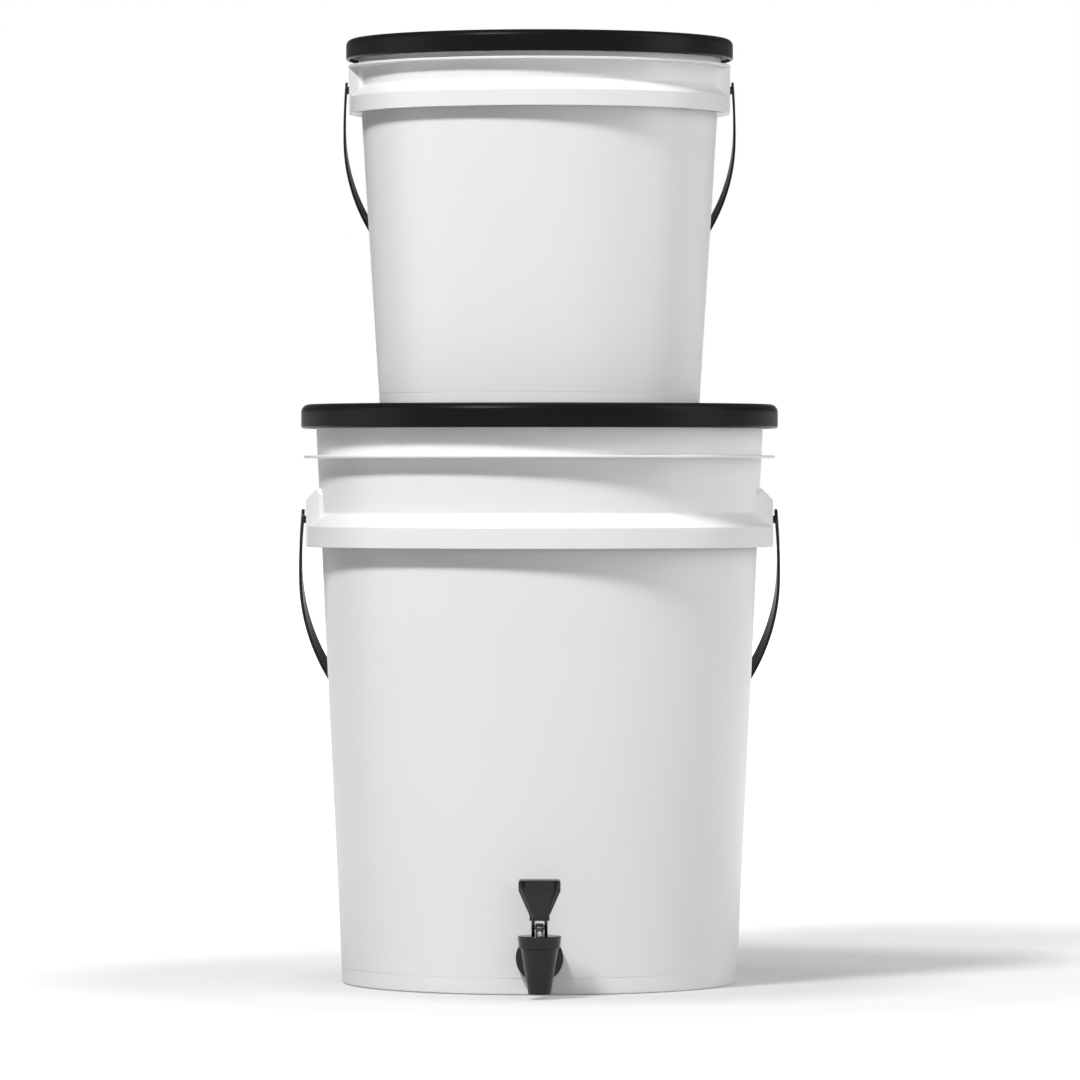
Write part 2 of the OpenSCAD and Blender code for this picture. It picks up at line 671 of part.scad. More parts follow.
module upper_pail() {
    rib_top = stage_rib_z + rib_t;
    color(WHITE)
        translate([0, 0, stage_z])
            difference() {
                union() {
                    rotate_extrude()
                        polygon(pail_outside(stage_base_r, stage_draft, stage_h, stage_collar_z,
                            stage_collar_h, stage_collar_r, stage_rib_z, stage_rib_reach, stage_rim_r));
                    for (i = [1:stage_gussets])
                        rotate([0, 0, (i - 0.5) * 360 / stage_gussets])
                            gusset(stage_base_r, stage_draft, stage_collar_z, stage_collar_h,
                                stage_collar_r);
                    for (turn = [0, 180])
                        rotate([0, 0, turn])
                            ear(cone_r(stage_base_r, stage_draft, stage_pivot_z), stage_ear_x,
                                stage_ear_face, stage_ear_root, stage_collar_z, rib_top, rib_top,
                                stage_ear_corner);
                }
                rotate_extrude()
                    polygon(pail_inside(stage_base_r, stage_draft, stage_h, stage_wall, stage_floor_z));
                pin_bores(stage_ear_x, stage_pivot_z);
                for (side = [-1, 1])
                    translate([side * filter_x, 0, foot_h - cut])
                        cylinder(h = stage_floor_t + 2 * cut, r = filter_stem_r + filter_stem_play);
            }
}

module upper_lid() {
    color(BLACK)
        translate([0, 0, stage_z])
            lid(stage_lid_z, stage_rim_r, stage_plug_r, stage_skirt_h, stage_lid_edge_r);
}

module upper_lid_gasket() {
    color(RUBBER)
        translate([0, 0, stage_z])
            gasket(stage_lid_z, stage_plug_r);
}

module upper_bail() {
    color(BLACK)
        translate([0, 0, stage_z + stage_pivot_z])
            rotate([bail_lean(stage_bail_len, stage_strap_t, stage_strap_w, stage_base_r, stage_draft,
                stage_pivot_z), 0, 0])
                bail(stage_ear_x, stage_bail_gap, stage_bail_bulge, stage_bail_widest, stage_bail_len,
                    stage_strap_t, stage_strap_w);
}

// The wall's cone as a solid, to shape what lies against it
module wall_cone(inset) {
    rotate_extrude($fn = 720)
        polygon([
            [0, 0], [tank_base_r - inset, 0],
            [cone_r(tank_base_r, tank_draft, 3 * tap_z) - inset, 3 * tap_z], [0, 3 * tap_z]
        ]);
}

// A cylinder along Y from y0 towards the front
module front_cylinder(y0, len, r) {
    translate([0, y0, tap_z])
        rotate([90, 0, 0])
            cylinder(h = len, r = r);
}

module tap_body() {
    color(BLACK)
        difference() {
            union() {
                front_cylinder(flange_back_y + shank_len, shank_len + flange_t / 2, shank_r);
                front_cylinder(flange_back_y, flange_t, flange_r);
                front_cylinder(flange_back_y, tap_reach - front_washer_t, barrel_r);
                translate([0, spout_y, 0])
                    rotate_extrude()
                        polygon([
                            [0, tap_z - spout_drop], [spout_tip_r, tap_z - spout_drop],
                            [spout_top_r, shoulder_z], [neck_r, shoulder_z],
                            [neck_r, neck_top_z], [0, neck_top_z]
                        ]);
            }
            front_cylinder(flange_back_y + shank_len + cut, shank_len + tap_reach - front_washer_t + cut,
                shank_bore_r);
            translate([0, spout_y, tap_z - spout_drop - cut])
                cylinder(h = spout_drop + cut, r = outlet_r);
            translate([0, spout_y, 0])
                rotate_extrude()
                    polygon([
                        [0, seat_z], [cup_r + cup_play, seat_z], [chamber_r, tap_z + spout_rise / 2],
                        [neck_r - neck_wall, shoulder_z], [neck_r - neck_wall, bonnet_top_z],
                        [0, bonnet_top_z]
                    ]);
        }
}

module tap_bonnet() {
    color(BLACK)
        translate([0, spout_y, shoulder_z])
            difference() {
                rotate_extrude()
                    polygon(concat(
                        [[0, 0], [bonnet_r, 0]],
                        arc(bonnet_top_r - bonnet_edge_r, bonnet_h - bonnet_fall - bonnet_edge_r,
                            bonnet_edge_r, 0, 60, 4),
                        [[legs_w / 2 + leg_t, bonnet_h], [0, bonnet_h]]
                    ));
                translate([0, 0, -cut])
                    cylinder(h = bonnet_h - bonnet_t + cut, r = neck_r + neck_play);
                cylinder(h = bonnet_h + cut, r = stem_r + stem_play);
            }
}

module tap_stem() {
    color(WHITE)
        translate([0, spout_y, seat_z + cup_h / 2])
            cylinder(h = bonnet_top_z + eye_z - seat_z - cup_h / 2, r = stem_r);
}

module tap_stem_eye() {
    color(BLACK)
        translate([0, spout_y, pin_z])
            difference() {
                cube(eye_w, center = true);
                cube([eye_window, eye_w + 2 * cut, eye_window], center = true);
                rotate([0, 90, 0])
                    cylinder(h = eye_w + 2 * cut, r = lever_pin_r + lever_play, center = true);
            }
}

module tap_lever_pin() {
    color(STEEL)
        translate([0, spout_y, pin_z])
            rotate([0, 90, 0])
                cylinder(h = legs_w, r = lever_pin_r, center = true);
}

// The cup that closes the seat: a domed rim on the end of the stem
module tap_seat_cup() {
    color(SILICONE)
        translate([0, spout_y, seat_z])
            difference() {
                rotate_extrude()
                    polygon([
                        [0, 0], [cup_r - cup_chamfer, 0], [cup_r, cup_chamfer],
                        [cup_r, cup_chamfer + cup_edge_h], [stem_r + cup_wall, cup_h], [0, cup_h]
                    ]);
                translate([0, 0, cup_h / 2])
                    cylinder(h = cup_h, r = stem_r);
            }
}

// Side view of a leg. The front of the foot is a cam: its contact with the bonnet stays at the
// same place while the pin rises by cam_rise for each radian.
module leg_outline() {
    radians = PI / 180;
    polygon(concat(
        [[leg_depth, neck_z + sink], [leg_depth, -foot_drop]],
        [for (a = [0:cam_angle / cam_steps:cam_angle])
            let (h = foot_drop + cam_rise * a * radians)
            [-h * sin(a) - cam_rise * cos(a), -h * cos(a) + cam_rise * sin(a)]],
        [[-leg_depth, neck_z - leg_t], [-leg_depth, neck_z + sink]]
    ));
}

// Front view of the neck and the paddle
module paddle_outline() {
    w = paddle_w / 2;
    r = paddle_corner_r;
    polygon(concat(
        [[-neck_w / 2, neck_z + neck_h], [-neck_w / 2, neck_z + sink]],
        [[neck_w / 2, neck_z + sink], [neck_w / 2, neck_z + neck_h]],
        [[w, paddle_h - paddle_side]],
        arc(w - r, paddle_h - r, r, 0, 90, 4),
        arc(r - w, paddle_h - r, r, 90, 180, 4),
        [[-w, paddle_h - paddle_side]]
    ));
}

// One side of the hollow: it slopes in at 45 degrees from a rim at x = edge_x, turned about height z
module dish_side(edge_x, z, angle) {
    front_y = -paddle_t / 2;
    translate([edge_x, 0, z])
        rotate([0, angle, 0])
            linear_extrude(4 * paddle_h, center = true)
                polygon([
                    [-2 * paddle_w, front_y - cut], [cut, front_y - cut],
                    [-dish_top_depth, front_y + dish_top_depth],
                    [-2 * paddle_w, front_y + dish_top_depth]
                ]);
}

// The hollow in the front of the paddle: deep under its top, with a floor that comes forward
// to the neck
module dish() {
    flare = atan2((paddle_w - neck_w) / 2, paddle_h - paddle_side - neck_z - neck_h);
    front_y = -paddle_t / 2;
    intersection() {
        intersection_for(side = [0, 1])
            mirror([side, 0, 0])
                intersection() {
                    dish_side(paddle_w / 2 - paddle_rim, 0, 0);
                    dish_side(neck_w / 2 - paddle_rim / cos(flare), neck_z + neck_h, flare);
                }
        rotate([90, 0, 90])
            linear_extrude(paddle_w, center = true)
                polygon([
                    [front_y - cut, neck_z + notch_h], [front_y - cut, paddle_h - paddle_rim],
                    [front_y + dish_top_depth, paddle_h - paddle_rim],
                    [front_y + dish_foot_depth, neck_z + notch_h]
                ]);
    }
}

// The notch in the front of the neck, between the legs
module neck_notch() {
    w = legs_w - 2 * leg_t - 2 * notch_inset;
    translate([-w / 2, -paddle_t / 2 - cut, neck_z - notch_h])
        cube([w, notch_depth + cut, 2 * notch_h]);
}

module tap_lever() {
    color(BLACK)
        translate([0, spout_y, pin_z])
            difference() {
                union() {
                    for (side = [-1, 1])
                        translate([side * (legs_w - leg_t) / 2, 0, 0])
                            rotate([90, 0, 90])
                                linear_extrude(leg_t, center = true)
                                    leg_outline();
                    translate([(leg_t - legs_w) / 2, -leg_depth, neck_z])
                        cube([legs_w - leg_t, 2 * leg_depth, neck_h / 2]);
                    translate([0, 0, neck_z])
                        rotate([paddle_lean, 0, 0])
                            translate([0, paddle_t / 2, -neck_z])
                                rotate([90, 0, 0])
                                    linear_extrude(paddle_t)
                                        paddle_outline();
                }
                translate([0, 0, neck_z])
                    rotate([paddle_lean, 0, 0])
                        translate([0, 0, -neck_z]) {
                            dish();
                            neck_notch();
                        }
                rotate([0, 90, 0])
                    cylinder(h = legs_w + 2 * cut, r = lever_pin_r + lever_play, center = true);
            }
}

module tap_front_washer() {
    color(RUBBER)
        difference() {
            front_cylinder(wall_y + 2 * tank_wall, 2 * tank_wall + front_washer_t, washer_r);
            wall_cone(-washer_play);
            front_cylinder(wall_y + 3 * tank_wall, 4 * tank_wall + front_washer_t, shank_r + shank_play);
        }
}

module tap_back_washer() {
    color(RUBBER)
        difference() {
            intersection() {
                front_cylinder(nut_y, 2 * back_washer_t + tank_wall, washer_r);
                wall_cone(tank_wall + washer_play);
            }
            front_cylinder(nut_y + cut, 3 * back_washer_t + tank_wall, shank_r + shank_play);
        }
}

module tap_nut() {
    color(BLACK)
        translate([0, nut_y + nut_t, tap_z])
            rotate([90, 0, 0])
                difference() {
                    cylinder(h = nut_t, r = nut_af / sqrt(3), $fn = 6);
                    translate([0, 0, -cut])
                        cylinder(h = nut_t + 2 * cut, r = shank_r + shank_play / 2);
                }
}

module at_filter(side) {
    translate([side * filter_x, 0, stage_z])
        children();
}

// A ring with its bottom at z
module ring(z, h, outer_r, inner_r) {
    translate([0, 0, z])
        difference() {
            cylinder(h = h, r = outer_r);
            translate([0, 0, -cut])
                cylinder(h = h + 2 * cut, r = inner_r);
        }
}

module filter_dome(side) {
    straight = dome_h - dome_r;
    color(CERAMIC)
        at_filter(side)
            translate([0, 0, dome_z])
                rotate_extrude()
                    polygon(concat(
                        [[dome_r - dome_t, 0], [dome_r, 0]],
                        arc(0, straight, dome_r, 0, 90, 18),
                        arc(0, straight, dome_r - dome_t, 90, 0, 18)
                    ));
}

module filter_core(side) {
    color(CARBON)
        at_filter(side)
            ring(dome_z, core_h, core_r, core_bore_r);
}

module filter_base(side) {
    color(WHITE)
        at_filter(side)
            difference() {
                union() {
                    translate([0, 0, filter_base_z])
                        cylinder(h = base_floor_t + base_socket_h, r = base_cup_r);
                    translate([0, 0, stem_end_z])
                        cylinder(h = filter_base_z - stem_end_z + sink, r = filter_stem_r);
                }
                translate([0, 0, dome_z])
                    cylinder(h = base_socket_h + cut, r = dome_r + dome_play);
                translate([0, 0, stem_end_z - cut])
                    cylinder(h = dome_z - stem_end_z + 2 * cut, r = filter_bore_r);
            }
}

module filter_floor_seal(side) {
    color(RUBBER)
        at_filter(side)
            ring(stage_floor_z, filter_seal_t, filter_seal_r, filter_stem_r + filter_stem_play);
}

module filter_spacer(side) {
    color(RUBBER)
        at_filter(side)
            ring(-disc_drop, foot_h + disc_drop, filter_seal_r, filter_stem_r + filter_stem_play);
}

module filter_lid_seal(side) {
    color(RUBBER)
        at_filter(side)
            ring(lid_under_z - filter_seal_t, filter_seal_t, filter_seal_r,
                filter_stem_r + filter_stem_play);
}

module filter_wing_nut(side) {
    top_z = lid_under_z - filter_seal_t;
    wing_x = (wing_span - wing_nut_t) / 2;
    color(WHITE)
        at_filter(side)
            translate([0, 0, top_z - wing_nut_t])
                difference() {
                    union() {
                        cylinder(h = wing_nut_t, r = wing_nut_r);
                        translate([wing_t / 2, 0, 0])
                            rotate([90, 0, -90])
                                linear_extrude(wing_t)
                                    union() {
                                        for (end = [-1, 1])
                                            translate([end * wing_x, wing_nut_t / 2])
                                                circle(r = wing_nut_t / 2);
                                        translate([-wing_x, 0])
                                            square([2 * wing_x, wing_nut_t]);
                                    }
                    }
                    translate([0, 0, -cut])
                        cylinder(h = wing_nut_t + 2 * cut, r = filter_stem_r + stem_play);
                }
}

lower_pail();
lower_lid();
lower_lid_gasket();
lower_bail();
upper_pail();
upper_lid();
upper_lid_gasket();
upper_bail();
tap_body();
tap_bonnet();
tap_lever();
tap_lever_pin();
tap_stem();
tap_stem_eye();
tap_seat_cup();
tap_front_washer();
tap_back_washer();
tap_nut();
filter_dome(-1);  // filter_dome_left
filter_core(-1);  // filter_core_left
filter_base(-1);  // filter_base_left
filter_floor_seal(-1);  // filter_floor_seal_left
filter_spacer(-1);  // filter_spacer_left
filter_lid_seal(-1);  // filter_lid_seal_left
filter_wing_nut(-1);  // filter_wing_nut_left
filter_dome(1);  // filter_dome_right
filter_core(1);  // filter_core_right
filter_base(1);  // filter_base_right
filter_floor_seal(1);  // filter_floor_seal_right
filter_spacer(1);  // filter_spacer_right
filter_lid_seal(1);  // filter_lid_seal_right
filter_wing_nut(1);  // filter_wing_nut_right
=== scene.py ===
import json
import math

import bmesh
import bpy
from mathutils import Matrix, Vector


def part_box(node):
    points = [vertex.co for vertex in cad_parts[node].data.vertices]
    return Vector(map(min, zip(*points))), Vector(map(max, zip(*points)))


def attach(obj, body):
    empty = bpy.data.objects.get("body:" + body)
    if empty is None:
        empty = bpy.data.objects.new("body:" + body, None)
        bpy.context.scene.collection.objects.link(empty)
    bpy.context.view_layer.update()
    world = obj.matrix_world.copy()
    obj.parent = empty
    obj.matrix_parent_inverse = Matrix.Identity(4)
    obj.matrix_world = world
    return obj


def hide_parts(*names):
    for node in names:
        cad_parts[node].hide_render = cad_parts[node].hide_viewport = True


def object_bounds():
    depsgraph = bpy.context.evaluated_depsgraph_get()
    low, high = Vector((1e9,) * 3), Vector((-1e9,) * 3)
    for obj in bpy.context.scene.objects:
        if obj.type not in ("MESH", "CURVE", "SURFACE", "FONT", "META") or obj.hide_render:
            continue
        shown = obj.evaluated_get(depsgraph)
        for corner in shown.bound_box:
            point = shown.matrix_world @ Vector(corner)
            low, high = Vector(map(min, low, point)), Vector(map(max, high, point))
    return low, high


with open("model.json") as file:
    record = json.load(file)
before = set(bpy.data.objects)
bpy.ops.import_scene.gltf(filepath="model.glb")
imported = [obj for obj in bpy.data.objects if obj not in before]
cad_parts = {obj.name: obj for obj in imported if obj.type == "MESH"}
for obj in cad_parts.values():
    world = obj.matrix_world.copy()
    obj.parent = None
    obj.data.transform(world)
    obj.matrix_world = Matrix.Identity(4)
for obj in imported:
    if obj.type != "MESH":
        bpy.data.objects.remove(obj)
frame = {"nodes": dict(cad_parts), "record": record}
cadLow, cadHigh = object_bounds()
nodes = frame["nodes"]
mm = 0.001


# camera, lamps and floor, in metres, watts and degrees, with lens and sensor in millimetres
view = dict(lens=250, sensor=36, eye=(0.0003, -4.934, 0.3352), target=(0.0003, 0, 0.2908))
keyLamp = dict(strength=9.9, width=0.42, tall=0.26, side=-32, reach=1.3, height=1.73)
boxes = (
    dict(name="sideBox", strength=25, side=80, height=24, distance=2.4, width=1.25, tall=2.4,
         glossy=True, diffuse=True),
    dict(name="rimBox", strength=5, side=118, height=-6, distance=2.4, width=1.1, tall=0.9,
         glossy=False, diffuse=True),
    dict(name="leftBox", strength=14, side=-85, height=12, distance=2.4, width=1.6, tall=1.8,
         glossy=True, diffuse=False),    # only shows in the gloss
    dict(name="frontBox", strength=12.2, side=16, height=5, distance=3, width=2.4, tall=1.2,
         glossy=False, diffuse=True))
studio = dict(ambient=0.16, room=0.14, backdrop=1.0, behind=(0.95, 0.995))
# the painted shade near the object's foot and the glows, painted light that lightens the object's shadow with
# distance, are ranges of distance from the centre, with the value at each end
floorLook = dict(
    size=60, colour=(0.5, 0.5, 0.5), paintedShadeColour=(0.36, 0.36, 0.36), bounce=(0.3, 0.3, 0.3),
    centre=(0.05, 0, 0), contact=(0.15, 0.24, 0, 1),
    nearGlow=(0.1, 0.36, 0.3, 0.36), middleGlow=(0.3, 0.48, 0, 0.25), farGlow=(0.5, 1.1, 0, 0.6))


def lookAt(obj, eye, target):
    obj.location = eye
    obj.rotation_mode = "QUATERNION"
    obj.rotation_quaternion = (Vector(target) - Vector(eye)).to_track_quat("-Z", "Y")


def around(side, height, distance):
    # a place round the object: side in degrees from the front, to the right, and height above level
    a, e = math.radians(side), math.radians(height)
    return Vector((math.sin(a) * math.cos(e), -math.cos(a) * math.cos(e), math.sin(e))) * distance


def seenRays(tree):
    # 1 for what the camera sees itself or through glass, and 1 for that and what a gloss shows
    rays = tree.nodes.new("ShaderNodeLightPath").outputs
    straight = mathNode(tree, "MAXIMUM", rays["Is Camera Ray"], rays["Is Transmission Ray"])
    return straight, mathNode(tree, "MAXIMUM", straight, rays["Is Glossy Ray"])


def setCamera(scene):
    camData = bpy.data.cameras.new("viewCamera")
    camData.lens, camData.sensor_width = view["lens"], view["sensor"]
    camera = bpy.data.objects.new("viewCamera", camData)
    scene.collection.objects.link(camera)
    lookAt(camera, view["eye"], view["target"])
    scene.camera = camera
    scene.view_settings.view_transform = "Standard"


def addLamp(scene, name, shape, look, place, target):
    lamp = bpy.data.lights.new(name, "AREA")
    lamp.shape, lamp.size, lamp.size_y = shape, look["width"], look["tall"]
    lamp.energy = look["strength"]
    obj = bpy.data.objects.new(name, lamp)
    scene.collection.objects.link(obj)
    lookAt(obj, place, target)
    return obj


def setLamps(scene):
    middle = (cadLow + cadHigh) / 2
    # the key lamp is near the object, so its shadows fan out, but it is as bright at any distance
    place = around(keyLamp["side"], 0, keyLamp["reach"]) + Vector((0, 0, keyLamp["height"]))
    key = addLamp(scene, "keyLamp", "ELLIPSE", keyLamp, place, middle).data
    key.use_nodes = True
    tree = key.node_tree
    falloff = tree.nodes.new("ShaderNodeLightFalloff")
    falloff.inputs["Strength"].default_value = 1
    tree.links.new(falloff.outputs["Constant"], tree.nodes["Emission"].inputs["Strength"])
    for look in boxes:
        place = middle + around(look["side"], look["height"], look["distance"])
        box = addLamp(scene, look["name"], "RECTANGLE", look, place, middle)
        box.visible_glossy, box.visible_diffuse = look["glossy"], look["diffuse"]


def setWorld(scene):
    world = bpy.data.worlds.new("studio")
    scene.world = world
    world.use_nodes = True
    tree = world.node_tree
    tree.nodes.clear()
    out = tree.nodes.new("ShaderNodeOutputWorld")
    soft = tree.nodes.new("ShaderNodeBackground")
    soft.inputs["Strength"].default_value = studio["ambient"]
    # a gloss shows the white backdrop behind the object and the dimmer room on its other sides
    straight, seen = seenRays(tree)
    toward = tree.nodes.new("ShaderNodeSeparateXYZ")
    tree.links.new(tree.nodes.new("ShaderNodeTexCoord").outputs["Generated"], toward.inputs[0])
    backdrop = rangeNode(tree, toward.outputs["Y"], *studio["behind"], studio["room"], studio["backdrop"])
    shown = tree.nodes.new("ShaderNodeBackground")
    tree.links.new(mathNode(tree, "MAXIMUM", backdrop, straight), shown.inputs["Strength"])
    mix = tree.nodes.new("ShaderNodeMixShader")
    tree.links.new(seen, mix.inputs["Fac"])
    for place, light in ((1, soft), (2, shown)):
        light.inputs["Color"].default_value = (1, 1, 1, 1)
        tree.links.new(light.outputs[0], mix.inputs[place])
    tree.links.new(mix.outputs[0], out.inputs["Surface"])


def floorPaper():
    # diffuse paper with a glow that the camera and a gloss see, so that it fades to white; the glow rises
    # with distance from the centre, painted light that fades the object's cast shadow away from it, and the
    # paper is painted darker near the object's foot
    mat = bpy.data.materials.new("floorPaper")
    mat.use_nodes = True
    tree = mat.node_tree
    tree.nodes.clear()
    out = tree.nodes.new("ShaderNodeOutputMaterial")
    seen = seenRays(tree)[1]
    paper = tree.nodes.new("ShaderNodeBsdfDiffuse")
    place = tree.nodes.new("ShaderNodeTexCoord").outputs["Object"]
    away = tree.nodes.new("ShaderNodeVectorMath")
    away.operation = "DISTANCE"
    # the centre sits right of the axis, so the painted shade and painted light leave the floor lighter on the
    # left and darker on the right
    away.inputs[1].default_value = floorLook["centre"]
    tree.links.new(place, away.inputs[0])
    # the paper is painted darker near the object's foot, as shade, and lightens to its plain colour further
    # out
    clear = rangeNode(tree, away.outputs["Value"], *floorLook["contact"])
    shown = mixColour(tree, clear, floorLook["paintedShadeColour"], floorLook["colour"])
    tree.links.new(mixColour(tree, seen, floorLook["bounce"], shown), paper.inputs["Color"])
    # the glow rises with distance, painted light that lightens the object's cast shadow further from it
    level = rangeNode(tree, away.outputs["Value"], *floorLook["nearGlow"])
    for stretch in ("middleGlow", "farGlow"):
        rise = rangeNode(tree, away.outputs["Value"], *floorLook[stretch])
        rise.node.interpolation_type = "SMOOTHSTEP"
        level = mathNode(tree, "ADD", level, rise)
    glow = tree.nodes.new("ShaderNodeEmission")
    both = tree.nodes.new("ShaderNodeAddShader")
    tree.links.new(mathNode(tree, "MULTIPLY", seen, level), glow.inputs["Strength"])
    tree.links.new(paper.outputs[0], both.inputs[0])
    tree.links.new(glow.outputs[0], both.inputs[1])
    tree.links.new(both.outputs[0], out.inputs["Surface"])
    return mat


def makeFloor(scene):
    bm = bmesh.new()
    bmesh.ops.create_grid(bm, x_segments=1, y_segments=1, size=floorLook["size"] / 2)
    mesh = bpy.data.meshes.new("floor")
    bm.to_mesh(mesh)
    bm.free()
    floor = bpy.data.objects.new("floor", mesh)
    scene.collection.objects.link(floor)
    mesh.materials.append(floorPaper())


# what all moulded finishes share; each one has its own dictionary below
grainLook = dict(fineDetail=1.0, peelDetail=2.0, toneScale=9.0, toneDetail=3.0)
markLook = dict(detail=5.0, roughness=0.7, lines=(0.62, 0.72), patchScale=14.0, patchDetail=2.0,
                patches=(0.45, 0.7), addedRoughness=0.15)


def makeGroup(name, numbers, results):
    # an empty node group with a vector input, number inputs with their defaults and outputs
    group = bpy.data.node_groups.new(name, "ShaderNodeTree")
    group.interface.new_socket("Vector", in_out="INPUT", socket_type="NodeSocketVector")
    for label, value in numbers.items():
        socket = group.interface.new_socket(label, in_out="INPUT", socket_type="NodeSocketFloat")
        socket.default_value = value
    for label in results:
        group.interface.new_socket(label, in_out="OUTPUT", socket_type="NodeSocketFloat")
    return group, group.nodes.new("NodeGroupInput"), group.nodes.new("NodeGroupOutput")


def noiseNode(tree, vector, scale, detail, roughness=0.5):
    node = tree.nodes.new("ShaderNodeTexNoise")
    node.inputs["Detail"].default_value = detail
    node.inputs["Roughness"].default_value = roughness
    if isinstance(scale, (int, float)):
        node.inputs["Scale"].default_value = scale
    else:
        tree.links.new(scale, node.inputs["Scale"])
    tree.links.new(vector, node.inputs["Vector"])
    return node.outputs["Fac"]


def mathNode(tree, operation, a, b):
    node = tree.nodes.new("ShaderNodeMath")
    node.operation = operation
    for socket, value in zip(node.inputs, (a, b)):
        if isinstance(value, (int, float)):
            socket.default_value = value
        else:
            tree.links.new(value, socket)
    return node.outputs[0]


def rangeNode(tree, value, low, high, newLow, newHigh):
    node = tree.nodes.new("ShaderNodeMapRange")
    tree.links.new(value, node.inputs["Value"])
    ends = {"From Min": low, "From Max": high, "To Min": newLow, "To Max": newHigh}
    for label, number in ends.items():
        node.inputs[label].default_value = number
    return node.outputs[0]


def makeMouldGrain():
    # fine pimples from the mould over a slow orange peel, and a patchy tone
    group, given, result = makeGroup(
        "mouldGrain", {"Grain Scale": 1600, "Peel Scale": 170, "Peel Share": 0.6}, ("Height", "Tone"))
    vector = given.outputs["Vector"]
    fine = noiseNode(group, vector, given.outputs["Grain Scale"], grainLook["fineDetail"])
    peel = noiseNode(group, vector, given.outputs["Peel Scale"], grainLook["peelDetail"])
    peelPart = mathNode(group, "MULTIPLY", peel, given.outputs["Peel Share"])
    height = mathNode(group, "ADD", fine, peelPart)
    group.links.new(height, result.inputs["Height"])
    tone = noiseNode(group, vector, grainLook["toneScale"], grainLook["toneDetail"])
    group.links.new(tone, result.inputs["Tone"])
    return group


def makeRubMarks():
    # thin scratches, stretched or squeezed along Z and broken up by patches
    group, given, result = makeGroup(
        "rubMarks", {"Mark Scale": 60, "Stretch": 14, "Amount": 0.5}, ("Marks",))
    vector = given.outputs["Vector"]
    split = group.nodes.new("ShaderNodeSeparateXYZ")
    group.links.new(vector, split.inputs[0])
    joined = group.nodes.new("ShaderNodeCombineXYZ")
    group.links.new(split.outputs["X"], joined.inputs["X"])
    group.links.new(split.outputs["Y"], joined.inputs["Y"])
    group.links.new(mathNode(group, "MULTIPLY", split.outputs["Z"], given.outputs["Stretch"]),
                    joined.inputs["Z"])
    streaks = noiseNode(group, joined.outputs[0], given.outputs["Mark Scale"],
                        markLook["detail"], markLook["roughness"])
    lines = rangeNode(group, streaks, *markLook["lines"], 0.0, 1.0)
    spread = noiseNode(group, vector, markLook["patchScale"], markLook["patchDetail"])
    patches = rangeNode(group, spread, *markLook["patches"], 0.0, 1.0)
    both = mathNode(group, "MULTIPLY", lines, patches)
    group.links.new(mathNode(group, "MULTIPLY", both, given.outputs["Amount"]), result.inputs["Marks"])
    return group


mouldGrain = makeMouldGrain()
rubMarks = makeRubMarks()


def placeGroup(tree, group, vector, values):
    node = tree.nodes.new("ShaderNodeGroup")
    node.node_tree = group
    tree.links.new(vector, node.inputs["Vector"])
    for label, value in values.items():
        node.inputs[label].default_value = value
    return node


def mixColour(tree, factor, first, second):
    node = tree.nodes.new("ShaderNodeMix")
    node.data_type = "RGBA"
    tree.links.new(factor, node.inputs["Factor"])
    for label, value in (("A", first), ("B", second)):
        socket = next(s for s in node.inputs if s.name == label and s.type == "RGBA")
        if isinstance(value, tuple):
            socket.default_value = (*value, 1)
        else:
            tree.links.new(value, socket)
    return next(s for s in node.outputs if s.type == "RGBA")


def mouldedFinish(look):
    # one moulded material: its two tones, grain, rub marks and gloss come from the dictionary
    mat = bpy.data.materials.new(look["name"])
    mat.use_nodes = True
    tree = mat.node_tree
    shader = tree.nodes["Principled BSDF"]
    place = tree.nodes.new("ShaderNodeTexCoord").outputs["Object"]
    grain = placeGroup(tree, mouldGrain, place, look["grain"])
    marks = placeGroup(tree, rubMarks, place, look["marks"])
    toned = mixColour(tree, grain.outputs["Tone"], look["colour"], look["otherTone"])
    rubbed = mixColour(tree, marks.outputs["Marks"], toned, look["rubbed"])
    tree.links.new(rubbed, shader.inputs["Base Color"])
    low, high = look["roughness"]
    even = rangeNode(tree, grain.outputs["Tone"], 0.0, 1.0, low, high)
    rougher = mathNode(tree, "MULTIPLY", marks.outputs["Marks"], markLook["addedRoughness"])
    tree.links.new(mathNode(tree, "ADD", even, rougher), shader.inputs["Roughness"])
    bump = tree.nodes.new("ShaderNodeBump")
    bump.inputs["Strength"].default_value = look["bump"]
    bump.inputs["Distance"].default_value = look["bumpDepth"] * mm
    tree.links.new(grain.outputs["Height"], bump.inputs["Height"])
    tree.links.new(bump.outputs["Normal"], shader.inputs["Normal"])
    for label, value in look["shader"].items():
        shader.inputs[label].default_value = value
    return mat


whitePail = dict(
    name="whitePail", colour=(0.892, 0.892, 0.888), otherTone=(0.862, 0.864, 0.865),
    rubbed=(0.84, 0.84, 0.838), roughness=(0.29, 0.37), bump=0.2, bumpDepth=0.03,
    grain={"Grain Scale": 900, "Peel Scale": 120, "Peel Share": 1.2},
    marks={"Mark Scale": 50, "Stretch": 10, "Amount": 0.25},
    shader={"IOR": 1.51, "Specular IOR Level": 0.32, "Subsurface Weight": 0.06,
            "Subsurface Radius": (1, 1, 1), "Subsurface Scale": 0.002})
blackLid = dict(
    name="blackLid", colour=(0.007, 0.007, 0.0071), otherTone=(0.01, 0.01, 0.0101),
    rubbed=(0.03, 0.03, 0.031), roughness=(0.3, 0.38), bump=0.3, bumpDepth=0.03,
    grain={"Grain Scale": 1300, "Peel Scale": 200, "Peel Share": 0.7},
    marks={"Mark Scale": 70, "Stretch": 3, "Amount": 0.3},
    shader={"IOR": 1.46, "Specular IOR Level": 0.08})
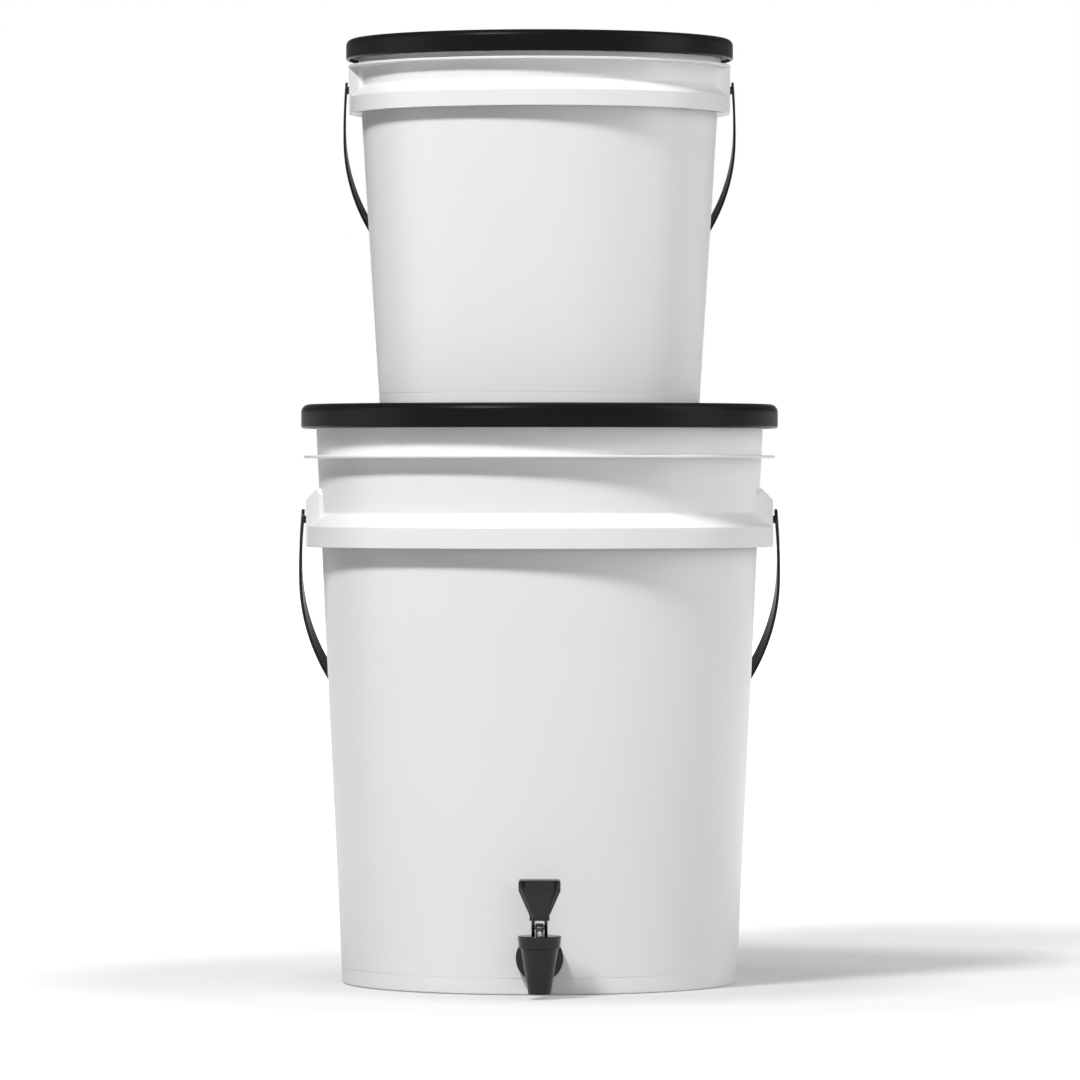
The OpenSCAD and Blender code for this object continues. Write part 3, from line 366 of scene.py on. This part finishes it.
blackStrap = dict(
    name="blackStrap", colour=(0.009, 0.009, 0.009), otherTone=(0.013, 0.013, 0.013),
    rubbed=(0.05, 0.05, 0.05), roughness=(0.3, 0.4), bump=0.3, bumpDepth=0.03,
    grain={"Grain Scale": 1500, "Peel Scale": 260, "Peel Share": 0.8},
    marks={"Mark Scale": 160, "Stretch": 0.3, "Amount": 0.4},
    shader={"IOR": 1.5, "Specular IOR Level": 0.3})
tapBlack = dict(
    name="tapBlack", colour=(0.005, 0.005, 0.0051), otherTone=(0.007, 0.007, 0.0071),
    rubbed=(0.035, 0.035, 0.035), roughness=(0.17, 0.24), bump=0.35, bumpDepth=0.025,
    grain={"Grain Scale": 2600, "Peel Scale": 500, "Peel Share": 0.4},
    marks={"Mark Scale": 200, "Stretch": 4, "Amount": 0.25},
    shader={"IOR": 1.5, "Specular IOR Level": 0.4})
stemWhite = dict(
    name="stemWhite", colour=(0.83, 0.83, 0.81), otherTone=(0.8, 0.8, 0.78),
    rubbed=(0.7, 0.7, 0.69), roughness=(0.29, 0.36), bump=0.2, bumpDepth=0.02,
    grain={"Grain Scale": 2600, "Peel Scale": 600, "Peel Share": 0.5},
    marks={"Mark Scale": 260, "Stretch": 5, "Amount": 0.4},
    shader={"IOR": 1.48})
cupSilicone = dict(
    name="cupSilicone", colour=(0.78, 0.78, 0.76), otherTone=(0.72, 0.72, 0.7),
    rubbed=(0.66, 0.66, 0.65), roughness=(0.45, 0.6), bump=0.3, bumpDepth=0.03,
    grain={"Grain Scale": 2000, "Peel Scale": 400, "Peel Share": 0.5},
    marks={"Mark Scale": 200, "Stretch": 1, "Amount": 0.2},
    shader={"IOR": 1.41, "Subsurface Weight": 0.3, "Subsurface Scale": 0.002})
gasketRubber = dict(
    name="gasketRubber", colour=(0.03, 0.03, 0.031), otherTone=(0.042, 0.042, 0.042),
    rubbed=(0.09, 0.088, 0.085), roughness=(0.65, 0.8), bump=0.5, bumpDepth=0.04,
    grain={"Grain Scale": 1800, "Peel Scale": 300, "Peel Share": 0.5},
    marks={"Mark Scale": 90, "Stretch": 2, "Amount": 0.5},
    shader={"IOR": 1.52})
filterPlastic = dict(
    name="filterPlastic", colour=(0.84, 0.845, 0.85), otherTone=(0.81, 0.815, 0.82),
    rubbed=(0.75, 0.75, 0.75), roughness=(0.29, 0.38), bump=0.2, bumpDepth=0.03,
    grain={"Grain Scale": 1400, "Peel Scale": 240, "Peel Share": 0.6},
    marks={"Mark Scale": 120, "Stretch": 3, "Amount": 0.3},
    shader={"IOR": 1.5})
filterCeramic = dict(
    name="filterCeramic", colour=(0.83, 0.8, 0.73), otherTone=(0.77, 0.73, 0.65),
    rubbed=(0.66, 0.62, 0.54), roughness=(0.75, 0.9), bump=0.8, bumpDepth=0.12,
    grain={"Grain Scale": 700, "Peel Scale": 90, "Peel Share": 0.6},
    marks={"Mark Scale": 40, "Stretch": 6, "Amount": 0.5},
    shader={"IOR": 1.5, "Specular IOR Level": 0.3})
filterCarbon = dict(
    name="filterCarbon", colour=(0.018, 0.018, 0.018), otherTone=(0.035, 0.035, 0.035),
    rubbed=(0.07, 0.07, 0.07), roughness=(0.8, 0.95), bump=0.9, bumpDepth=0.25,
    grain={"Grain Scale": 500, "Peel Scale": 120, "Peel Share": 0.8},
    marks={"Mark Scale": 60, "Stretch": 2, "Amount": 0.4},
    shader={"IOR": 1.5, "Specular IOR Level": 0.25})
pinSteel = dict(
    name="pinSteel", colour=(0.62, 0.62, 0.63), otherTone=(0.55, 0.55, 0.56),
    rubbed=(0.8, 0.8, 0.8), roughness=(0.29, 0.4), bump=0.2, bumpDepth=0.01,
    grain={"Grain Scale": 3000, "Peel Scale": 800, "Peel Share": 0.4},
    marks={"Mark Scale": 400, "Stretch": 8, "Amount": 0.6},
    shader={"Metallic": 1.0})

slotLooks = {
    "white_pail": whitePail, "black_lid": blackLid, "black_strap": blackStrap, "tap_black": tapBlack,
    "stem_white": stemWhite, "pin_steel": pinSteel, "cup_silicone": cupSilicone,
    "gasket_rubber": gasketRubber, "filter_ceramic": filterCeramic, "filter_carbon": filterCarbon,
    "filter_plastic": filterPlastic}
finishes = {slotName: mouldedFinish(look) for slotName, look in slotLooks.items()}
nodeSlots = {part["node"]: part["material_slot"] for part in frame["record"]["subparts"]}


def dressNodes():
    for name, obj in nodes.items():
        obj.data.materials.clear()
        obj.data.materials.append(finishes[nodeSlots[name]])


# shaping, in millimetres and degrees
meshing = dict(
    turns=256, tapTurns=128, pinTurns=48, largeRound=2, largeSegments=8, smallSegments=3, edgeSegments=2,
    joinWithin=0.001, cutWithin=1e-5, edgeAngle=20, smoothAngle=50)


def bevelled(bm, geom, size, segments, affect):
    bmesh.ops.bevel(bm, geom=geom, offset=size, offset_type="OFFSET", segments=segments, profile=0.5,
                    affect=affect, material=-1, clamp_overlap=True)


def revolve(corners, closed=False, turns=meshing["turns"]):
    # spins an outline of (radius, height, rounding) about the Z axis
    bm = bmesh.new()
    ring = [bm.verts.new((corner[0], 0, corner[1])) for corner in corners]
    last = ring[:1] if closed else []
    for a, b in zip(ring, ring[1:] + last):
        bm.edges.new((a, b))
    for size in sorted({corner[2] for corner in corners if corner[2]}):
        segments = meshing["largeSegments" if size > meshing["largeRound"] else "smallSegments"]
        bevelled(bm, [v for v, corner in zip(ring, corners) if corner[2] == size], size, segments, "VERTICES")
    bmesh.ops.spin(bm, geom=bm.verts[:] + bm.edges[:], cent=(0, 0, 0), axis=(0, 0, 1), dvec=(0, 0, 0),
                   angle=math.tau, steps=turns, use_merge=True, use_normal_flip=False, use_duplicate=False)
    bmesh.ops.remove_doubles(bm, verts=bm.verts[:], dist=meshing["joinWithin"])
    return bm


def prism(points, low, high, edge=0.0):
    # extrudes an outline of (x, y) points from low to high, with soft edges
    bm = bmesh.new()
    face = bm.faces.new([bm.verts.new((x, y, low)) for x, y in points])
    grown = bmesh.ops.extrude_face_region(bm, geom=[face])
    moved = [v for v in grown["geom"] if isinstance(v, bmesh.types.BMVert)]
    bmesh.ops.translate(bm, vec=(0, 0, high - low), verts=moved)
    bmesh.ops.recalc_face_normals(bm, faces=bm.faces[:])
    if edge:
        softenEdges(bm, edge)
    return bm


def softenEdges(bm, size, least=meshing["edgeAngle"]):
    # rounds the edges that turn by more than least
    sharp = [e for e in bm.edges if e.is_manifold and e.calc_face_angle(0) > math.radians(least)]
    bevelled(bm, sharp, size, meshing["edgeSegments"], "EDGES")


def sliceOff(bm, point, normal):
    # cuts away what lies outside a plane and closes the cut
    cut = bmesh.ops.bisect_plane(
        bm, geom=bm.verts[:] + bm.edges[:] + bm.faces[:], dist=meshing["cutWithin"], plane_co=point,
        plane_no=normal, clear_outer=True, clear_inner=False)
    rim = [e for e in cut["geom_cut"] if isinstance(e, bmesh.types.BMEdge)]
    if rim:
        bmesh.ops.edgeloop_fill(bm, edges=rim)


def addTo(target, part, matrix=None):
    if matrix is not None:
        part.transform(matrix)
    mesh = bpy.data.meshes.new("part")
    part.to_mesh(mesh)
    part.free()
    target.from_mesh(mesh)
    bpy.data.meshes.remove(mesh)


def repeatRound(bm, count):
    # copies all of bm round the Z axis
    bmesh.ops.spin(bm, geom=bm.verts[:] + bm.edges[:] + bm.faces[:], cent=(0, 0, 0), axis=(0, 0, 1),
                   dvec=(0, 0, 0), angle=math.tau * (count - 1) / count, steps=count - 1,
                   use_duplicate=True)


def finishPiece(name, bm, body, *replaced):
    bmesh.ops.recalc_face_normals(bm, faces=bm.faces[:])
    bmesh.ops.scale(bm, vec=(mm, mm, mm), verts=bm.verts[:])
    for face in bm.faces:
        face.smooth = True
    for edge in bm.edges:
        edge.smooth = edge.calc_face_angle(0) < math.radians(meshing["smoothAngle"])
    mesh = bpy.data.meshes.new(name)
    bm.to_mesh(mesh)
    bm.free()
    obj = bpy.data.objects.new(name, mesh)
    bpy.context.scene.collection.objects.link(obj)
    weighted = obj.modifiers.new("shading", "WEIGHTED_NORMAL")
    weighted.keep_sharp = True
    slotName = nodeSlots[replaced[0]]
    mesh.materials.append(finishes[slotName])
    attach(obj, body)
    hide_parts(*replaced)
    print("made", name, len(mesh.polygons), "faces")


# the pails
rootTwo = math.sqrt(2)
lowerPail = dict(
    footR=129.7, draft=0.047, height=374.4, wall=2.3, floor=2.6, collarDrop=88.1, collarH=13.6,
    collarReach=9.85, ribDrop=29.8, ribReach=8.9, rimReach=6.8, gussets=24, earFace=16, earRoot=30.2,
    earH=31, earSlope=0.87, earCorner=5.3, pivotH=18.1)
upperPail = dict(
    footR=104.9, draft=0.062, height=237.7, wall=1.9, floor=2.2, collarDrop=43.2, collarH=10.9,
    collarReach=7.9, ribDrop=13.3, ribReach=6.8, rimReach=4.9, gussets=20, earFace=14, earRoot=26.9,
    earH=0, earSlope=0, earCorner=1, pivotH=15.7)
pailMould = dict(
    footH=3.6, footW=3, bandZ=10.8, groove=0.25, floorFillet=6, collarT=2, ribT=1.8, rimT=2.2, lipH=6,
    lipT=1.6, gussetT=1.6, gussetSink=0.6, gussetSoft=0.25, earProud=0.1, earBevel=3.6, earBevelRun=2.7,
    earInset=6, earRaise=0.06, earLower=0.05, earSoft=0.5, earLeastAngle=12, earDepth=0.6)
pailRounds = dict(
    footTop=0.8, footInside=0.5, foot=1.2, hollow=0.6, collarUnder=0.5, collar=0.7, slope=0.9, ribRoot=0.5,
    rib=0.4, lipRoot=0.6, lip=0.4, rim=1.0, mouth=0.8)


def wallR(pail, z):
    return pail["footR"] + pail["draft"] * z


def measured(pail):
    # adds the heights and radii that follow from a pail's own sizes
    pail = dict(pail, **pailMould)
    pail["collarZ"] = pail["height"] - pail["collarDrop"]
    pail["faceTop"] = pail["collarZ"] + pail["collarH"]
    pail["ribZ"] = pail["height"] - pail["ribDrop"]
    pail["collarR"] = wallR(pail, pail["collarZ"]) + pail["collarReach"]
    pail["ribR"] = wallR(pail, pail["ribZ"]) + pail["ribReach"]
    pail["rimR"] = wallR(pail, pail["height"]) + pail["rimReach"]
    pail["earX"] = pail["collarR"] + pail["earProud"]
    pail["pivotZ"] = pail["collarZ"] + pail["pivotH"]
    pail["hollowTop"] = slopeMeets(pail, pail["faceTop"] - pail["collarT"] * rootTwo)
    pail["slopeTop"] = slopeMeets(pail, pail["faceTop"])
    if pail["earH"]:
        pail["earFaceTop"] = pail["collarZ"] + pail["earH"]
        rise = pail["earX"] - wallR(pail, pail["earFaceTop"])
        pail["earTop"] = pail["earFaceTop"] + rise * pail["earSlope"]
    else:
        pail["earFaceTop"] = pail["earTop"] = pail["ribZ"] + pail["ribT"]
    return pail


def slopeMeets(pail, z):
    # height at which a 45 degree slope that leaves the collar at z meets the wall
    return (z + pail["collarR"] - pail["footR"]) / (1 + pail["draft"])


def pailOutline(p):
    onWall = lambda z, soft: (wallR(p, z), z, soft)
    r = pailRounds
    top = p["height"]
    footInner = p["footR"] - p["footW"]
    collarInner = p["collarR"] - p["collarT"]
    lipInner = p["rimR"] - p["lipT"]
    floorTop = p["footH"] + p["floor"]
    return [
        (0, p["footH"], 0), (footInner, p["footH"], r["footTop"]), (footInner, 0, r["footInside"]),
        (p["footR"], 0, r["foot"]), onWall(p["bandZ"] - p["groove"], 0),
        (wallR(p, p["bandZ"]) - p["groove"], p["bandZ"], 0), onWall(p["bandZ"] + p["groove"], 0),
        onWall(p["hollowTop"], r["hollow"]),
        (collarInner, p["faceTop"] + p["collarT"] * (1 - rootTwo), r["hollow"]),
        (collarInner, p["collarZ"], r["collarUnder"]), (p["collarR"], p["collarZ"], r["collarUnder"]),
        (p["collarR"], p["faceTop"], r["collar"]), onWall(p["slopeTop"], r["slope"]),
        onWall(p["ribZ"], r["ribRoot"]), (p["ribR"], p["ribZ"], r["rib"]),
        (p["ribR"], p["ribZ"] + p["ribT"], r["rib"]), onWall(p["ribZ"] + p["ribT"], r["ribRoot"]),
        onWall(top - p["rimT"], r["lipRoot"]), (lipInner, top - p["rimT"], r["lip"]),
        (lipInner, top - p["lipH"], r["lip"]), (p["rimR"], top - p["lipH"], r["lip"]),
        (p["rimR"], top, r["rim"]), (wallR(p, top) - p["wall"], top, r["mouth"]),
        (wallR(p, floorTop) - p["wall"], floorTop, p["floorFillet"]), (0, floorTop, 0)]


def gusset(p):
    foot = p["collarZ"] + p["collarT"]
    outer = p["collarR"] - p["collarT"] / 2
    sink = p["gussetSink"]
    points = [
        (wallR(p, foot) - sink, foot), (outer, foot), (outer, p["faceTop"] - sink),
        (wallR(p, p["hollowTop"]) - sink, p["hollowTop"] + sink)]
    bm = prism(points, -p["gussetT"] / 2, p["gussetT"] / 2, p["gussetSoft"])
    bm.transform(Matrix.Rotation(math.pi / 2, 4, "X"))
    return bm


def ear(p):
    wallX = wallR(p, p["pivotZ"])
    half, bevel, run, corner = p["earRoot"], p["earBevel"], p["earBevelRun"], p["earCorner"]
    rootX = math.sqrt(wallX ** 2 - half ** 2)
    inner = rootX - p["earInset"]
    points = [
        (inner, -half), (rootX, -half), (rootX + bevel, run - half), (p["earX"], -p["earFace"]),
        (p["earX"], p["earFace"]), (rootX + bevel, half - run), (rootX, half), (inner, half)]
    low, high = p["collarZ"] + p["earRaise"], p["earTop"] - p["earLower"]
    bm = prism(points, low, high)
    if p["earH"]:
        sliceOff(bm, (p["earX"], 0, p["earFaceTop"]), (1, 0, 1))
    for side in (-1, 1):
        sliceOff(bm, (0, side * (half - corner), high), (0, side, 1))
    softenEdges(bm, p["earSoft"], p["earLeastAngle"])
    # the inner corners move into the wall, but the flat faces between them still stand about 2.3 mm inside it
    for vert in bm.verts:
        flat = Vector((vert.co.x, vert.co.y))
        least = wallR(p, vert.co.z) - p["wall"] * p["earDepth"]
        if flat.length < least:
            vert.co.x = math.sqrt(max(least ** 2 - vert.co.y ** 2, 0))
    return bm


def makePail(name, look, body):
    p = measured(look)
    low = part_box(name)[0].z / mm
    bm = revolve(pailOutline(p))
    ribs = gusset(p)
    ribs.transform(Matrix.Rotation(math.pi / p["gussets"], 4, "Z"))
    repeatRound(ribs, p["gussets"])
    addTo(bm, ribs)
    for turn in (0, math.pi):
        addTo(bm, ear(p), Matrix.Rotation(turn, 4, "Z"))
    bmesh.ops.translate(bm, vec=(0, 0, low), verts=bm.verts[:])
    finishPiece(name + "_moulding", bm, body, name)


# the lids
lidMould = dict(
    plate=2.6, skirtT=2.2, skirtGap=0.4, chamfer=1, panelDrop=3.8, plugT=2, plugH=8, plugGap=0.4, gasketT=3,
    plugChamfer=1, discR=84, discDrop=0.8, ribs=12, ribT=1.6, ribH=4, ribSink=0.6, ribSoft=0.3)
lidRounds = dict(
    panelUnder=1.0, plug=0.6, plugTip=0.5, plugRoot=0.4, skirt=0.5, chamfer=0.35, panelTop=1.0, panel=1.2,
    disc=0.6)
lowerLid = dict(skirtH=15.9, edgeR=5.2)
upperLid = dict(skirtH=13.8, edgeR=4.2)


def lidOutline(lid, rimR, plugR, top):
    r = lidRounds
    under, panel, skirtZ = top - lid["plate"], top - lid["panelDrop"], top - lid["skirtH"]
    panelUnder = panel - lid["plate"]
    plugZ = under - lid["gasketT"] - lid["plugH"]
    skirtR = rimR + lid["skirtGap"]
    outerR = rimR + lid["skirtGap"] + lid["skirtT"]
    return [
        (0, panelUnder, 0), (plugR - lid["plugT"], panelUnder, r["panelUnder"]),
        (plugR - lid["plugT"], plugZ, r["plug"]), (plugR - lid["plugChamfer"], plugZ, r["plugTip"]),
        (plugR, plugZ + lid["plugChamfer"], r["plugTip"]), (plugR, under, r["plugRoot"]),
        (skirtR, under, r["skirt"]), (skirtR, skirtZ, r["skirt"]),
        (outerR - lid["chamfer"], skirtZ, r["chamfer"]), (outerR, skirtZ + lid["chamfer"], r["chamfer"]),
        (outerR, top, lid["edgeR"]), (plugR, top, r["panelTop"]),
        (plugR - lid["panelDrop"], panel, r["panel"]), (lid["discR"], panel, r["disc"]),
        (lid["discR"] - lid["discDrop"], panel - lid["discDrop"], r["disc"]),
        (0, panel - lid["discDrop"], 0)]


def makeLid(name, look, pailLook, body):
    lid = dict(lidMould, **look)
    p = measured(pailLook)
    plugR = wallR(p, p["height"] - lid["plugH"]) - p["wall"] - lid["plugGap"]
    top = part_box(name)[1].z / mm
    bm = revolve(lidOutline(lid, p["rimR"], plugR, top))
    panelUnder = top - lid["panelDrop"] - lid["plate"]
    half, ribEnd = lid["ribT"] / 2, plugR - lid["plugT"] / 2
    corners = [(lid["discR"], -half), (ribEnd, -half), (ribEnd, half), (lid["discR"], half)]
    rib = prism(corners, panelUnder - lid["ribH"], panelUnder + lid["ribSink"], lid["ribSoft"])
    rib.transform(Matrix.Rotation(math.pi / lid["ribs"], 4, "Z"))
    repeatRound(rib, lid["ribs"])
    addTo(bm, rib)
    finishPiece(name + "_moulding", bm, body, name)


# the bails
lowerBail = dict(length=230, widest=47.6, bulge=2.1, gap=1.8, width=15.5, thick=2)
upperBail = dict(length=188, widest=38.5, bulge=1.5, gap=1.4, width=12, thick=1.6)
bailMould = dict(
    endPart=0.87, taper=60, pinR=2.55, pinDepth=4.5, pinRound=0.4, leanGap=0.3, edge=0.4, edgeAngle=40,
    endSteps=8, sideSteps=12, farSteps=64)


def bailPlace(bail, halfW, far, s):
    # point of a bail's outline at distance s below the pivots, for one of its two faces
    if s <= bail["widest"]:
        k = (bail["widest"] - s) / bail["widest"]
        return halfW - bail["bulge"] * k * k, -s
    return halfW * math.sqrt(max(1 - ((s - bail["widest"]) / (far - bail["widest"])) ** 2, 0)), -s


def strap(bail, earX):
    # one half of the strap as rings of four corners, from its round end to the middle of the far side
    thick, widest, length = bail["thick"], bail["widest"], bail["length"]
    halfW = earX + bail["gap"] + thick + bail["bulge"]
    endR = bail["width"] * bail["endPart"] / 2
    tapered = lambda s: endR + (bail["width"] / 2 - endR) * min(s / bail["taper"], 1)
    stations = []
    for i in range(1, bail["endSteps"] + 1):
        a = math.pi / 2 * i / bail["endSteps"]
        stations.append((-endR * math.cos(a), endR * math.sin(a)))
    for i in range(1, bail["sideSteps"] + 1):
        s = widest * i / bail["sideSteps"]
        stations.append((s, tapered(s)))
    rings = []
    for s, half in stations:
        outer = bailPlace(bail, halfW, length, s)
        inner = bailPlace(bail, halfW - thick, length - thick, s)
        rings.append((outer, inner, half))
    for i in range(1, bail["farSteps"] + 1):
        a = math.pi / 2 * i / bail["farSteps"]
        outer = (halfW * math.cos(a), -widest - (length - widest) * math.sin(a))
        inner = ((halfW - thick) * math.cos(a), -widest - (length - thick - widest) * math.sin(a))
        rings.append((outer, inner, tapered(-outer[1])))
    return rings


def bailPin(bail):
    reach = bail["pinDepth"] + bail["gap"] + bail["thick"] / 2
    corners = [(0, 0, 0), (bail["pinR"], 0, bail["pinRound"]), (bail["pinR"], reach, 0), (0, reach, 0)]
    return revolve(corners, turns=meshing["pinTurns"])


def makeBail(name, look, pailLook, body, pivotZ):
    bail = dict(bailMould, **look)
    p = measured(pailLook)
    half = strap(bail, p["earX"])
    flip = lambda ring: ((-ring[0][0], ring[0][1]), (-ring[1][0], ring[1][1]), ring[2])
    rings = half + [flip(ring) for ring in reversed(half[:-1])]
    bm = bmesh.new()
    rows = []
    for outer, inner, w in rings:
        rows.append([bm.verts.new((point[0], side * w, point[1]))
                     for point, side in ((outer, -1), (outer, 1), (inner, 1), (inner, -1))])
    for a, b in zip(rows, rows[1:]):
        for i in range(4):
            bm.faces.new((a[i], a[(i + 1) % 4], b[(i + 1) % 4], b[i]))
    for row in (rows[0], rows[-1]):
        bm.faces.new(row)
    bmesh.ops.recalc_face_normals(bm, faces=bm.faces[:])
    softenEdges(bm, bail["edge"], bail["edgeAngle"])
    for side in (-1, 1):
        place = Matrix.Translation((side * (p["earX"] - bail["pinDepth"]), 0, 0))
        addTo(bm, bailPin(bail), place @ Matrix.Rotation(side * math.pi / 2, 4, "Y"))
    # the bail leans until its far side is leanGap away from the drafted wall
    a = bail["length"] - bail["thick"] + p["draft"] * bail["width"] / 2
    b = p["draft"] * (bail["length"] - bail["thick"]) - bail["width"] / 2
    lean = math.asin((wallR(p, p["pivotZ"]) + bail["leanGap"]) / math.hypot(a, b)) - math.atan2(b, a)
    bm.transform(Matrix.Translation((0, 0, pivotZ)) @ Matrix.Rotation(lean, 4, "X"))
    finishPiece(name + "_strap", bm, body, name)


# the tap
tap = dict(
    z=24.3, reach=33.5, shankR=9.3, shankLen=21, boreR=5.2, flangeR=15.25, flangeT=3.4, barrelR=8.0,
    tipR=7.3, topR=11.85, drop=21, rise=8.2, outletR=4.6, seatDrop=7.3, chamberWall=2.4, frontWasher=2,
    cupBore=6.9, neckStep=0.6, neckWall=2, barrelSink=1.0, endWithin=0.01)
tapRounds = dict(edge=0.3, tip=0.35, bore=0.4, shank=0.8, flangeBack=0.4, flangeFront=0.6, barrelRoot=0.8)
bonnet = dict(
    lowR=13.05, topR=13.95, height=8.2, plate=2.2, fall=0.3, play=0.15, stemHole=2.68, flatR=7.0)
bonnetRounds = dict(mouth=0.2, foot=0.35, edge=0.8, hole=0.25, cavity=0.3)
# nodes that keep their own shape, with the body they ride on and how far their edges are rounded
softened = dict(
    tap_lever=("tap_lever", 0.25), tap_stem_eye=("valve_stem", 0.2), tap_nut=("lower_vessel", 0.5))
softening = dict(edgeAngle=25, flatAngle=1)


def tapPlaces():
    # heights and places that the tap's body and its bonnet share
    wallY = -wallR(lowerPail, tap["z"])
    shoulder = tap["z"] + tap["rise"]
    return dict(
        backY=wallY - tap["frontWasher"], spoutY=wallY - tap["reach"], shoulder=shoulder,
        neckR=tap["topR"] - tap["neckStep"],
        neckTop=shoulder + bonnet["height"] - bonnet["plate"] - bonnet["play"])


def tapBarrel(place, tipZ):
    r = tapRounds
    run = tap["reach"] - tap["frontWasher"]
    barrel = revolve([
        (tap["boreR"], -tap["shankLen"], r["bore"]), (tap["shankR"], -tap["shankLen"], r["shank"]),
        (tap["shankR"], 0, 0), (tap["flangeR"], 0, r["flangeBack"]),
        (tap["flangeR"], tap["flangeT"], r["flangeFront"]),
        (tap["barrelR"], tap["flangeT"], r["barrelRoot"]), (tap["barrelR"], run, 0),
        (tap["boreR"], run, 0)], closed=True, turns=meshing["tapTurns"])
    turned = Matrix.Rotation(math.pi / 2, 4, "X")
    barrel.transform(Matrix.Translation((0, place["backY"], tap["z"])) @ turned)
    # the barrel's end follows the spout's cone, just inside its skin
    spoutY, shoulder = place["spoutY"], place["shoulder"]
    for vert in barrel.verts:
        if vert.co.y < spoutY + tap["endWithin"]:
            cone = tap["tipR"] + (tap["topR"] - tap["tipR"]) * (vert.co.z - tipZ) / (shoulder - tipZ)
            inside = cone - tap["barrelSink"]
            vert.co.y = spoutY + math.sqrt(max(inside * inside - vert.co.x ** 2, 1))
    return barrel


def makeTapBody(place):
    r = tapRounds
    tipZ, seat = tap["z"] - tap["drop"], tap["z"] - tap["seatDrop"]
    shoulder, neckR, neckTop = place["shoulder"], place["neckR"], place["neckTop"]
    neckInner = neckR - tap["neckWall"]
    bm = revolve([
        (tap["outletR"], tipZ, r["edge"]), (tap["tipR"], tipZ, r["tip"]), (tap["topR"], shoulder, r["edge"]),
        (neckR, shoulder, 0), (neckR, neckTop, r["edge"]), (neckInner, neckTop, r["edge"]),
        (neckInner, shoulder, 0), (tap["topR"] - tap["chamberWall"], tap["z"] + tap["rise"] / 2, 0),
        (tap["cupBore"], seat, r["edge"]), (tap["outletR"], seat, r["edge"])],
        closed=True, turns=meshing["tapTurns"])
    bmesh.ops.translate(bm, vec=(0, place["spoutY"], 0), verts=bm.verts[:])
    addTo(bm, tapBarrel(place, tipZ))
    finishPiece("tap_body_moulding", bm, "lower_vessel", "tap_body")


def makeTapBonnet(place):
    r = bonnetRounds
    cavityR = place["neckR"] + bonnet["play"]
    height, under = bonnet["height"], bonnet["height"] - bonnet["plate"]
    cap = revolve([
        (cavityR, 0, r["mouth"]), (bonnet["lowR"], 0, r["foot"]),
        (bonnet["topR"], height - bonnet["fall"], r["edge"]), (bonnet["flatR"], height, 0),
        (bonnet["stemHole"], height, r["hole"]), (bonnet["stemHole"], under, 0),
        (cavityR, under, r["cavity"])], closed=True, turns=meshing["tapTurns"])
    bmesh.ops.translate(cap, vec=(0, place["spoutY"], place["shoulder"]), verts=cap.verts[:])
    finishPiece("tap_bonnet_cap", cap, "lower_vessel", "tap_bonnet")


def softenedCopy(name, body, size):
    # a node's own shape with its flat faces joined and its edges rounded
    bm = bmesh.new()
    bm.from_mesh(nodes[name].data)
    bmesh.ops.scale(bm, vec=(1 / mm, 1 / mm, 1 / mm), verts=bm.verts[:])
    bmesh.ops.remove_doubles(bm, verts=bm.verts[:], dist=meshing["joinWithin"])
    bmesh.ops.dissolve_limit(bm, angle_limit=math.radians(softening["flatAngle"]), verts=bm.verts[:],
                             edges=bm.edges[:])
    softenEdges(bm, size, softening["edgeAngle"])
    finishPiece(name + "_soft", bm, body, name)


scene = bpy.context.scene
setCamera(scene)
setLamps(scene)
setWorld(scene)
makeFloor(scene)
dressNodes()
print("stage and finishes ready")
makePail("lower_pail", lowerPail, "lower_vessel")
makePail("upper_pail", upperPail, "upper_stage")
print("pails ready")
makeLid("lower_lid", lowerLid, lowerPail, "upper_stage")
makeLid("upper_lid", upperLid, upperPail, "top_lid")
print("lids ready")
makeBail("lower_bail", lowerBail, lowerPail, "lower_bail", measured(lowerPail)["pivotZ"])
makeBail("upper_bail", upperBail, upperPail, "upper_bail",
         measured(upperPail)["pivotZ"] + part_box("upper_pail")[0].z / mm)
print("bails ready")
places = tapPlaces()
makeTapBody(places)
makeTapBonnet(places)
for name, (body, size) in softened.items():
    softenedCopy(name, body, size)
print("tap ready")
